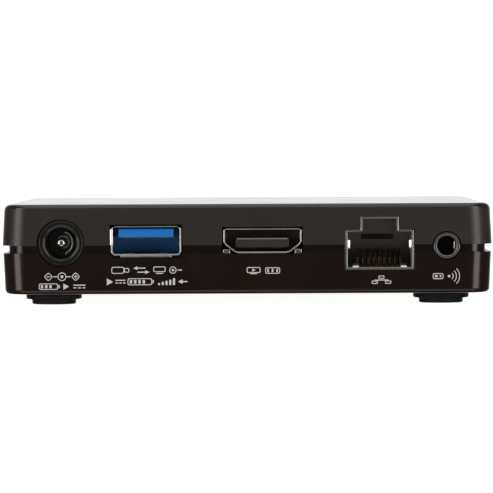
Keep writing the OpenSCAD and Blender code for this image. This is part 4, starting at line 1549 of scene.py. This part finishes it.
@dataclass
class VideoSocket:
    """Video socket: a folded steel shell with sloped lower corners round a black tongue."""

    x: float = 2.87 * MM
    half: float = 7.35 * MM
    bottom_half: float = 4.92 * MM
    low: float = 9.65 * MM
    height: float = 4.72 * MM
    slope: float = 1.83 * MM
    depth: float = 11 * MM
    bend: float = 0.55 * MM
    tongue_half: float = 5 * MM
    tongue_low: float = 10.7 * MM
    tongue_thick: float = 1.7 * MM
    tongue_y: float = -44.85 * MM
    back_depth: float = 3 * MM
    plate_margin: float = 0.3 * MM
    plate_reach: tuple[float, float] = (-44.91 * MM, -40.85 * MM)
    plate_rise: tuple[float, float] = (12.25 * MM, 12.44 * MM)
    tab_half: float = 0.65 * MM
    tab_reach: tuple[float, float] = (-45.35 * MM, -43.65 * MM)
    tab_rise: tuple[float, float] = (9.53 * MM, 10.4 * MM)
    fingers: tuple[FingerPair, ...] = (
        FingerPair(3.6 * MM, 2 * MM, 14.07 * MM, 4 * MM, 1.5 * MM, (0, -0.3 * MM)),
        FingerPair(7.05 * MM, 2 * MM, 12.9 * MM, 4 * MM, 1.2 * MM, (0.3 * MM, 0)),
    )

    def build(self) -> list[bpy.types.Object]:
        """Models the socket and dresses it."""
        return [self._shell(), self._insulator()]

    def _slopes(self, margin: float) -> list[tuple[Point, Point]]:
        """Gives the two planes of the lower corners.

        Args:
            margin: How far the planes are moved into the socket.

        Returns:
            A point and an outward direction of each.
        """
        run = self.half - self.bottom_half
        slant = math.hypot(run, self.slope)
        planes = []
        for side in (-1, 1):
            out = (side * self.slope / slant, 0, -run / slant)
            x = self.x + side * self.bottom_half - out[0] * margin
            planes.append(((x, 0, self.low - out[2] * margin), out))
        return planes

    def _block(self, name: str, inset: float, front: float) -> bpy.types.Object:
        """Adds a block with the socket's outline before its corners are sloped.

        Args:
            name: The block's name.
            inset: How far it keeps inside the socket's outside.
            front: Y of its front.

        Returns:
            The block.
        """
        reach = (front, SHAPE.mouth + self.depth - inset)
        rise = (self.low + inset, self.low + self.height - inset)
        return add_block(name, self.x, self.half - inset, reach, rise)

    def _shell(self) -> bpy.types.Object:
        """Models the shell with its spring fingers, fixing tabs and the plate on the tongue."""
        low = (self.x - self.half, SHAPE.mouth, self.low)
        high = (self.x + self.half, SHAPE.mouth + self.depth, self.low + self.height)
        shell = folded_shell("video_socket_shell", low, high, self.bend, self._slopes(0))
        plate_half = self.tongue_half - self.plate_margin
        plate = add_block(
            "tongue_plate", self.x, plate_half, self.plate_reach, self.plate_rise
        )
        soften(plate, 0.06 * MM, 3)
        details = [plate]
        for side in (-1, 1):
            middle = self.x + side * (self.half - self.tab_half)
            tab = add_block("tab", middle, self.tab_half, self.tab_reach, self.tab_rise)
            soften(tab, 0.1 * MM, 3)
            details.append(tab)
        for pair in self.fingers:
            details += pair.build(self.x)
        shell = join("video_socket_shell", [shell, *details])
        return dress(shell, NICKEL_STEEL, ["video_port_shell"])

    def _insulator(self) -> bpy.types.Object:
        """Models the tongue and the back wall."""
        inset = SHEET + INSERT_GAP
        end = SHAPE.mouth + self.depth - inset
        back = self._block("video_socket_tongue", inset, end - self.back_depth)
        slice_off(back, self._slopes(inset))
        reach = (self.tongue_y, end - TONGUE_ROOT)
        rise = (self.tongue_low, self.tongue_low + self.tongue_thick)
        tongue = add_block("tongue", self.x, self.tongue_half, reach, rise)
        bevel(tongue, 0.25 * MM, 3, before(self.tongue_y))
        combine(back, [tongue], "UNION")
        soften(back, 0.05 * MM, 2)
        return dress(back, BLACK_NYLON, ["video_port_insulator"])


@dataclass
class LanSocket:
    """Network socket: a stamped shield with spring fingers round a housing whose grey is painted
    light, with a black block of painted shade in its slot.
    """

    x: float = 24.8 * MM
    low: float = 6.87 * MM
    half: float = 6.05 * MM
    height: float = 6.76 * MM
    notch_half: float = 3.25 * MM
    notch_height: float = 2.47 * MM
    box_half: float = 8.05 * MM
    box_low: float = 5.97 * MM
    box_high: float = 16.8 * MM
    box_depth: float = 16 * MM
    collar_root: float = 0.1 * MM
    cavity_end: float = -29.5 * MM
    slot_half: float = 3.05 * MM
    slot_rise: tuple[float, float] = (11.8 * MM, 12.85 * MM)
    slot_depth: float = 1.4 * MM
    # The black block in the housing's slot is painted shade; these place it.
    shade_patch_proud: float = 0.03 * MM
    shade_patch_depth: float = 1.2 * MM
    contacts: int = 8
    pitch: float = 1.02 * MM
    rib_half: float = 0.17 * MM
    rib_reach: tuple[float, float] = (-39.8 * MM, -33.5 * MM)
    rib_rise: tuple[float, float] = (6.47 * MM, 8.7 * MM)
    rib_climb: float = 1.2 * MM
    tab_gap: float = 0.05 * MM
    tab_setback: float = 0.1 * MM
    tab_level: float = 10.4 * MM
    tab_size: tuple[float, float] = (0.6 * MM, 1.6 * MM)
    fingers: tuple[FingerPair, ...] = (
        FingerPair(6.05 * MM, 0.1 * MM, 11.2 * MM, 5.5 * MM, 1.9 * MM, (0.55 * MM, 0)),
        FingerPair(4.5 * MM, 0.3 * MM, 6.87 * MM, 3.2 * MM, 1.1 * MM, (0, 0.7 * MM)),
    )

    def build(self) -> list[bpy.types.Object]:
        """Models the socket and dresses it."""
        return [self._shield(), self._housing(), self._slot_shade_patch(), self._comb()]

    def _box(self, name: str, front: float, back: float, inset: float) -> bpy.types.Object:
        """Adds a block with the outline of the shield's box.

        Args:
            name: The block's name.
            front: Y of its front.
            back: Y of its back.
            inset: How far its other sides keep inside the box.

        Returns:
            The block.
        """
        rise = (self.box_low + inset, self.box_high - inset)
        return add_block(name, self.x, self.box_half - inset, (front, back), rise)

    def _outline(self, margin: float, near: float, far: float) -> bpy.types.Object:
        """Models a block with the opening's outline, a rectangle with the latch's notch on top.

        Args:
            margin: How far the outline is grown.
            near: Y of the front.
            far: Y of the back.

        Returns:
            The block.
        """
        reach, top = (near, far), self.low + self.height + margin
        block = add_block(
            "outline", self.x, self.half + margin, reach, (self.low - margin, top)
        )
        rise = (top - 2 * THROUGH, top + self.notch_height)
        notch = add_block("notch", self.x, self.notch_half + margin, reach, rise)
        return combine(block, [notch], "UNION")

    def _shield(self) -> bpy.types.Object:
        """Models the shield: the box, the collar that lines the wall, its fingers and tabs."""
        front, back = SHAPE.inside, SHAPE.inside + self.box_depth
        shield = self._box("lan_socket_shield", front, back, 0)
        room = self._box("room", front + SHEET, back - SHEET, SHEET)
        collar = self._outline(SHEET, SHAPE.mouth, front + self.collar_root)
        combine(shield, [collar], "UNION")
        combine(shield, [room, self._outline(0, SHAPE.mouth - THROUGH, front + THROUGH)])
        soften(shield, 0.07 * MM, 2)
        details = []
        for pair in self.fingers:
            details += pair.build(self.x)
        width, height = self.tab_size
        for side in (-1, 1):
            place = self.x + side * (self.half + self.tab_gap)
            corner = (place, SHAPE.mouth + self.tab_setback, self.tab_level)
            details.append(flared_tab("side_tab", corner, -side * width, height))
        shield = join("lan_socket_shield", [shield, *details])
        return dress(shield, NICKEL_STEEL, ["lan_port_shield"])

    def _housing(self) -> bpy.types.Object:
        """Models the housing: its cavity and the slot in the cavity's back wall."""
        inset = SHEET + INSERT_GAP
        front, back = SHAPE.inside + inset, SHAPE.inside + self.box_depth - inset
        body = self._box("lan_socket_housing", front, back, inset)
        reach = (self.cavity_end - THROUGH, self.cavity_end + self.slot_depth)
        slot = add_block("slot", self.x, self.slot_half, reach, self.slot_rise)
        combine(body, [self._outline(0, front - THROUGH, self.cavity_end), slot])
        soften(body, 0.05 * MM, 2)
        # Its grey finish is painted light: black nylon drawn lighter for the cavity's walls.
        return dress(body, PAINTED_LIGHT_NYLON, ["lan_port_housing"])

    def _slot_shade_patch(self) -> bpy.types.Object:
        """Models a black block that fills the slot in the cavity's back wall: painted shade where
        the slot's shade falls.
        """
        wall = self.cavity_end - self.shade_patch_proud
        reach = (wall, wall + self.shade_patch_depth)
        shade_patch = add_block("lan_socket_slot_shade", self.x, self.slot_half, reach, self.slot_rise)
        soften(shade_patch, 0.08 * MM, 2)
        return dress(shade_patch, BLACK_NYLON)

    def _comb(self) -> bpy.types.Object:
        """Models the ribs between the contacts, one and its copies."""
        ribs = self.contacts + 1
        first = self.x - (ribs - 1) / 2 * self.pitch
        rib = add_block("rib", first, self.rib_half, self.rib_reach, self.rib_rise)
        front, crest = self.rib_reach[0] + NEAR, self.rib_rise[1] - NEAR
        climb = (0, 0, self.rib_climb)
        shift(rib, lambda place, normal: place.y > front and place.z > crest, climb)
        soften(rib, 0.04 * MM, 2)
        copies = [copy_to(rib, "rib", (i * self.pitch, 0, 0)) for i in range(1, ribs)]
        return dress(join("lan_socket_comb", [rib, *copies]), BLACK_NYLON)


@dataclass
class ReceiverJack(RoundJack):
    """Jack for the infrared receiver: a plated ring, a black bore and contacts in its side."""

    x: float = 37.36 * MM
    z: float = 10.93 * MM
    sides: int = 64
    ring_y: float = -45.6 * MM
    ring_radius: float = 2.5 * MM
    ring_bore_end: float = -40 * MM
    ring_round: float = 0.22 * MM
    bore_radius: float = 1.8 * MM
    bore_depth: float = 14 * MM
    body_half: float = 2.8 * MM
    body_depth: float = 12.5 * MM
    leaf_radius: float = 0.16 * MM
    leaf_half: float = 0.75 * MM
    leaf_side: float = 1.5 * MM
    leaf_setback: float = 1.6 * MM

    def build(self) -> list[bpy.types.Object]:
        """Models the jack and dresses it."""
        return [self._ring(), self._housing(), self._leaf()]

    def _ring(self) -> bpy.types.Object:
        """Models the turned ring, with a rounded rim that narrows to the bore."""
        near = self.ring_y - THROUGH
        ring = self._rod("receiver_ring", self.ring_y, SHAPE.inside, self.ring_radius)
        combine(ring, [self._rod("bore", near, self.ring_bore_end, self.bore_radius)])
        bevel(ring, self.ring_round, 4, before(self.ring_y))
        shade(ring)
        return dress(ring, GREY_RING, ["ir_jack_ring"])

    def _housing(self) -> bpy.types.Object:
        """Models the body behind the wall with its bore."""
        front = SHAPE.inside + INSERT_GAP
        body = self._body("receiver_body", self.body_half, front, self.body_depth)
        near, end = self.ring_y - THROUGH, self.ring_y + self.bore_depth
        combine(body, [self._rod("bore", near, end, self.bore_radius)])
        soften(body, 0.1 * MM, 2)
        return dress(body, BLACK_NYLON, ["ir_jack_housing"])

    def _leaf(self) -> bpy.types.Object:
        """Models the bowed end of a leaf contact, which looks into the bore from the right."""
        x, y = self.x + self.leaf_side, self.ring_y + self.leaf_setback
        ends = [(x, y, self.z + side * self.leaf_half) for side in (-1, 1)]
        leaf = add_rod("receiver_leaf", *ends, self.leaf_radius)
        soften(leaf, 0.05 * MM, 2)
        return dress(leaf, NICKEL_STEEL)


# ---------------------------------------------------------------- the printed marks


class Mark(Enum):
    """Shapes that the printed pictograms are put together from."""

    BAR = "filled rectangle"
    FRAME = "outline of a rectangle"
    DIAMOND = "outline of a square that stands on a corner"
    DISC = "filled circle"
    RING = "outline of a circle"
    ARC = "right-hand part of a ring"
    LEFT = "arrow head to the left"
    RIGHT = "arrow head to the right"


# A mark's shape, the X and Z of its middle, its width and its height, in millimetres.
MarkRow = tuple[Mark, float, float, float, float]


def row(count: int, pitch: float, kind: Mark, x: float, *rest: float) -> tuple[MarkRow, ...]:
    """Repeats a mark along X.

    Args:
        count: How many there are.
        pitch: Distance from one to the next, in millimetres.
        kind: Their shape.
        x: Middle of the first.
        *rest: Z of the middle, width and height.

    Returns:
        The marks.
    """
    return tuple((kind, x + i * pitch, *rest) for i in range(count))


@dataclass(frozen=True)
class PrintedMarks:
    """Plain pictograms in pale ink under the sockets, lying on the leaning wall.

    Attributes:
        stroke: Width of a line.
        ink: How far the ink stands off the wall.
        root: How far each mark reaches into the wall, so that no gap shows.
        groups: For each socket its name and its marks.
    """

    stroke: float = 0.15 * MM
    ink: float = 0.015 * MM
    root: float = 0.03 * MM
    groups: tuple[tuple[str, tuple[MarkRow, ...]], ...] = (
        ("power", (
            (Mark.DIAMOND, -37.2, 5.4, 1.75, 1.75), (Mark.BAR, -37.2, 5.4, 0.6, 0.17),
            (Mark.BAR, -35.85, 5.4, 0.85, 0.17), (Mark.RING, -34.65, 5.4, 1.6, 1.6),
            (Mark.DISC, -34.65, 5.4, 0.55, 0.55), (Mark.BAR, -33.45, 5.4, 0.85, 0.17),
            (Mark.DIAMOND, -32.1, 5.4, 1.75, 1.75), (Mark.BAR, -32.1, 5.4, 0.65, 0.17),
            (Mark.BAR, -32.1, 5.4, 0.17, 0.65), (Mark.FRAME, -37.2, 3.55, 3.6, 1.2),
            *row(3, 0.8, Mark.BAR, -38.4, 3.55, 0.45, 0.65), (Mark.BAR, -35.2, 3.55, 0.25, 0.6),
            (Mark.RIGHT, -33.9, 3.55, 1.0, 1.15), (Mark.BAR, -31.4, 3.8, 2.3, 0.2),
            *row(3, 0.85, Mark.BAR, -32.25, 3.3, 0.55, 0.2),
        )),
        ("usb", (
            (Mark.FRAME, -24.2, 6.56, 2.4, 1.3), (Mark.FRAME, -22.55, 6.56, 0.95, 0.85),
            (Mark.LEFT, -20.9, 6.95, 0.75, 0.7), (Mark.BAR, -19.8, 6.95, 1.6, 0.19),
            (Mark.RIGHT, -18.7, 6.2, 0.75, 0.7), (Mark.BAR, -19.8, 6.2, 1.6, 0.19),
            (Mark.FRAME, -16.4, 6.72, 2.3, 1.05), (Mark.BAR, -16.4, 5.95, 1.3, 0.17),
            (Mark.RING, -13.9, 6.56, 1.35, 1.35), (Mark.DISC, -13.9, 6.56, 0.45, 0.45),
            (Mark.BAR, -12.6, 6.56, 0.85, 0.2), (Mark.RIGHT, -25.7, 4.4, 1.1, 1.3),
            (Mark.BAR, -23.7, 4.68, 1.9, 0.2), *row(3, 0.7, Mark.BAR, -24.4, 4.18, 0.48, 0.2),
            (Mark.FRAME, -20.1, 4.4, 4.6, 1.3), *row(4, 0.8, Mark.BAR, -21.75, 4.4, 0.45, 0.7),
            (Mark.BAR, -17.6, 4.4, 0.25, 0.65),
            (Mark.BAR, -16.5, 3.95, 0.4, 0.4), (Mark.BAR, -15.8, 4.05, 0.4, 0.6),
            (Mark.BAR, -15.1, 4.15, 0.4, 0.8), (Mark.BAR, -14.4, 4.25, 0.4, 1.0),
            (Mark.BAR, -13.7, 4.4, 0.4, 1.3), (Mark.LEFT, -12.5, 4.4, 0.8, 0.9),
            (Mark.BAR, -11.65, 4.4, 1.0, 0.2),
        )),
        ("video", (
            (Mark.FRAME, 1.2, 6.5, 2.6, 1.1), (Mark.BAR, 1.2, 5.82, 1.3, 0.17),
            (Mark.RIGHT, 1.25, 6.5, 0.6, 0.6), (Mark.FRAME, 4.75, 6.4, 2.8, 1.2),
            *row(3, 0.85, Mark.BAR, 3.9, 6.4, 0.3, 0.65),
        )),
        ("network", (
            (Mark.FRAME, 25.1, 5.05, 1.1, 0.62), (Mark.BAR, 25.1, 4.62, 0.17, 0.3),
            (Mark.BAR, 25.1, 4.52, 2.55, 0.17), *row(2, 2.5, Mark.FRAME, 23.85, 4.12, 1.15, 0.62),
        )),
        ("receiver", (
            (Mark.FRAME, 35.7, 5.2, 2.0, 1.1), (Mark.BAR, 35.35, 5.2, 0.5, 0.4),
            (Mark.BAR, 36.15, 5.2, 0.3, 0.4), (Mark.DISC, 37.75, 5.2, 0.5, 0.5),
            (Mark.ARC, 37.75, 5.2, 1.7, 1.7), (Mark.ARC, 37.75, 5.2, 2.9, 2.9),
            (Mark.ARC, 37.75, 5.2, 4.1, 4.1),
        )),
    )

    def build(self) -> list[bpy.types.Object]:
        """Models the groups of marks and dresses them."""
        hinge = (0, -SHAPE.lower_half, SHAPE.base_top)
        pieces = []
        for name, marks in self.groups:
            shapes = [
                self._shape(kind, *(size * MM for size in sizes)) for kind, *sizes in marks
            ]
            piece = join(f"printed_{name}_marks", shapes)
            rotate_mesh(piece, -SHAPE.lower_lean, "X", hinge)
            pieces.append(dress(piece, PRINT_INK))
        return pieces

    def _slab(
        self, x: float, z: float, width: float, height: float, grow: float = 0, corner: float = 0.25
    ) -> bpy.types.Object:
        """Adds a box with rounded corners at the wall.

        Args:
            x: Its middle.
            z: Its middle.
            width: Its width.
            height: Its height.
            grow: How much further than a mark it reaches to the front and back.
            corner: Radius of the corners as a share of the shorter side, or 0 for sharp ones.

        Returns:
            The box.
        """
        wall = -SHAPE.lower_half
        reach = (wall - self.ink - grow, wall + self.root + grow)
        slab = add_block("slab", x, width / 2, reach, (z - height / 2, z + height / 2))
        if corner:
            bevel(slab, min(width, height) * corner, 2, along(1))
        return slab

    def _disc(self, x: float, z: float, radius: float, grow: float = 0) -> bpy.types.Object:
        """Adds a short rod at the wall.

        Args:
            x: Its middle.
            z: Its middle.
            radius: Its radius.
            grow: How much further than a mark it reaches to the front and back.

        Returns:
            The rod.
        """
        wall = -SHAPE.lower_half
        start, end = wall - self.ink - grow, wall + self.root + grow
        return add_rod("disc", (x, start, z), (x, end, z), radius, vertices=32)

    def _shape(
        self, kind: Mark, x: float, z: float, width: float, height: float
    ) -> bpy.types.Object:
        """Models one mark.

        Args:
            kind: Its shape.
            x: Its middle.
            z: Its middle.
            width: Its width.
            height: Its height.

        Returns:
            The mark.
        """
        line, centre = 2 * self.stroke, (x, -SHAPE.lower_half, z)
        if kind in (Mark.DISC, Mark.RING, Mark.ARC):
            shape = self._disc(x, z, width / 2)
            if kind != Mark.DISC:
                combine(shape, [self._disc(x, z, width / 2 - self.stroke, THROUGH)])
            if kind == Mark.ARC:
                keep = self._slab(x + width / 2, z, 0.4 * width, 0.75 * height, THROUGH)
                combine(shape, [keep], "INTERSECT")
            return shape
        if kind == Mark.DIAMOND:
            width, height = width * math.sqrt(0.5), height * math.sqrt(0.5)
        arrow = kind in (Mark.LEFT, Mark.RIGHT)
        shape = self._slab(x, z, width, height, corner=0 if arrow else 0.25)
        if kind in (Mark.FRAME, Mark.DIAMOND):
            combine(shape, [self._slab(x, z, width - line, height - line, THROUGH)])
        if kind == Mark.DIAMOND:
            rotate_mesh(shape, math.pi / 4, "Y", centre)
        if arrow:
            way = 1 if kind == Mark.RIGHT else -1
            squeeze(
                shape,
                lambda place, normal: way * (place.x - x) > 0,
                (1, 1, ARROW_POINT),
                centre,
            )
        return shape


# ---------------------------------------------------------------- what stays as the CAD made it


@dataclass
class Interior:
    """Pieces inside the case, which keep their CAD meshes and get real finishes."""

    finishes: tuple[Finish, ...] = (
        SATIN_ABS, GLOSS_ABS, RUBBER, NICKEL_STEEL, NICKEL_BRASS, GREY_RING, GOLD_BRONZE,
        BLUE_NYLON, BLACK_NYLON, WHITE_NYLON, BLACK_ZINC, ZINC_STEEL, SOLDER_MASK, CHIP_EPOXY,
        FERRITE, CAN_ALUMINIUM, ANODISED, SILICONE, COPPER_FLEX, LEAD_JACKET, CLEAR_ACRYLIC,
    )

    def dress(self) -> None:
        """Puts the finish of its slot on every CAD node that still shows."""
        by_slot = {finish.slot: finish for finish in self.finishes}
        for subpart in frame["record"]["subparts"]:
            node = bpy.data.objects[subpart["node"]]
            if node.hide_render:
                continue
            finish = by_slot[subpart["material_slot"]]
            for i in range(len(node.data.materials)):
                node.data.materials[i] = finish.material()
            LOG.info("%s: kept, %s", node.name, finish.title)


# ---------------------------------------------------------------- the studio


@dataclass(frozen=True)
class Softbox:
    """A rectangular studio light.

    Attributes:
        name: The light's name.
        place: Its middle.
        target: The point it faces.
        size: Width and height.
        radiance: Brightness of its face, where 1 is the white of the backdrop.
    """

    name: str
    place: Point
    target: Point
    size: tuple[float, float]
    radiance: float

    def build(self) -> None:
        """Adds the light."""
        width, height = self.size
        light = bpy.data.lights.new(self.name, "AREA")
        light.shape = "RECTANGLE"
        light.size, light.size_y = width, height
        light.energy = self.radiance * math.pi * width * height
        lamp = bpy.data.objects.new(self.name, light)
        bpy.context.scene.collection.objects.link(lamp)
        lamp.location = self.place
        facing = Vector(self.target) - Vector(self.place)
        lamp.rotation_euler = facing.to_track_quat("-Z", "Y").to_euler()
        lamp.visible_camera = False


@dataclass
class Studio:
    """White backdrop, pale floor, softboxes at both sides, and the camera."""

    bright: float = 1.0
    dark: float = 0.1
    floor_half: float = 4.0
    floor_level: float = -0.02 * MM
    camera_place: Point = (2 * MM, -786 * MM, 30.4 * MM)
    camera_target: Point = (-0.107 * MM, -46 * MM, 10.92 * MM)
    camera_roll: float = math.radians(-0.26)
    lens: float = 289.2
    sensor: float = 36.0
    clip: tuple[float, float] = (0.01, 50.0)
    boxes: tuple[Softbox, ...] = (
        Softbox("softbox_left", (-0.62, -0.62, 0.2), (-0.04, -0.04, 0.01), (0.46, 0.9), 3.0),
        Softbox("softbox_right", (0.62, -0.62, 0.2), (0.04, -0.04, 0.01), (0.46, 0.9), 3.0),
        Softbox("softbox_front", (0, -0.55, 0.78), (0, -0.04, 0.01), (0.7, 0.5), 1.1),
        Softbox("softbox_low", (0, -0.45, -0.5), (0, -0.04, 0.01), (0.9, 0.4), 0.85),
        Softbox("softbox_top", (0, 0.15, 0.9), (0, 0, 0), (0.9, 0.9), 1.2),
    )

    def build(self) -> None:
        """Sets up everything that isn't the object."""
        bpy.context.scene.view_settings.view_transform = "Standard"
        self._world()
        self._floor()
        for box in self.boxes:
            box.build()
        self._camera()

    def _world(self) -> None:
        """Surrounds the scene with white that falls off behind the camera."""
        world = bpy.data.worlds.new("studio_white")
        bpy.context.scene.world = world
        world.use_nodes = True
        tree = world.node_tree
        tree.nodes.clear()
        toward = add_node(tree, "ShaderNodeTexCoord").outputs["Generated"]
        parts = add_node(tree, "ShaderNodeSeparateXYZ", links={"Vector": toward})
        level = add_node(
            tree,
            "ShaderNodeMapRange",
            {
                "From Min": 0.7,
                "From Max": 0.92,
                "To Min": self.dark,
                "To Max": self.bright,
                "interpolation_type": "SMOOTHSTEP",
            },
            {"Value": parts.outputs["Y"]},
        )
        soft = add_node(
            tree,
            "ShaderNodeBackground",
            {"Color": (1, 1, 1, 1)},
            {"Strength": level.outputs["Result"]},
        )
        seen = add_node(tree, "ShaderNodeBackground", {"Color": (1, 1, 1, 1), "Strength": 1.0})
        ray = add_node(tree, "ShaderNodeLightPath").outputs["Is Camera Ray"]
        mix = add_node(tree, "ShaderNodeMixShader", links={"Fac": ray})
        tree.links.new(soft.outputs["Background"], mix.inputs[1])
        tree.links.new(seen.outputs["Background"], mix.inputs[2])
        add_node(tree, "ShaderNodeOutputWorld", links={"Surface": mix.outputs["Shader"]})

    def _floor(self) -> None:
        """Lays the pale floor, a light table that casts no shadow and mirrors in nothing."""
        deselect_all()
        middle = (0, 0, self.floor_level)
        bpy.ops.mesh.primitive_plane_add(size=2 * self.floor_half, location=middle)
        floor = settle("studio_floor")
        floor.data.materials.append(STUDIO_FLOOR.material())
        floor.visible_glossy = False
        floor.visible_shadow = False

    def _camera(self) -> None:
        """Sets the camera a little above the roof's height, straight behind the ports."""
        camera = bpy.data.cameras.new("camera")
        camera.lens = self.lens
        camera.sensor_width = self.sensor
        camera.clip_start, camera.clip_end = self.clip
        eye = bpy.data.objects.new("camera", camera)
        bpy.context.scene.collection.objects.link(eye)
        eye.location = self.camera_place
        facing = (Vector(self.camera_target) - Vector(self.camera_place)).to_track_quat("-Z", "Y")
        roll = Quaternion((0, 0, 1), self.camera_roll)
        eye.rotation_euler = (facing @ roll).to_euler()
        bpy.context.scene.camera = eye


def main() -> None:
    """Builds the object piece by piece, then the studio round it."""
    logging.basicConfig(level=logging.INFO, format="%(name)s: %(message)s")
    UpperCase().build()
    LowerCase().build()
    Feet().build()
    for socket in (PowerJack(), UsbSocket(), VideoSocket(), LanSocket(), ReceiverJack()):
        socket.build()
    PrintedMarks().build()
    Interior().dress()
    Studio().build()


if __name__ == "__main__":
    main()
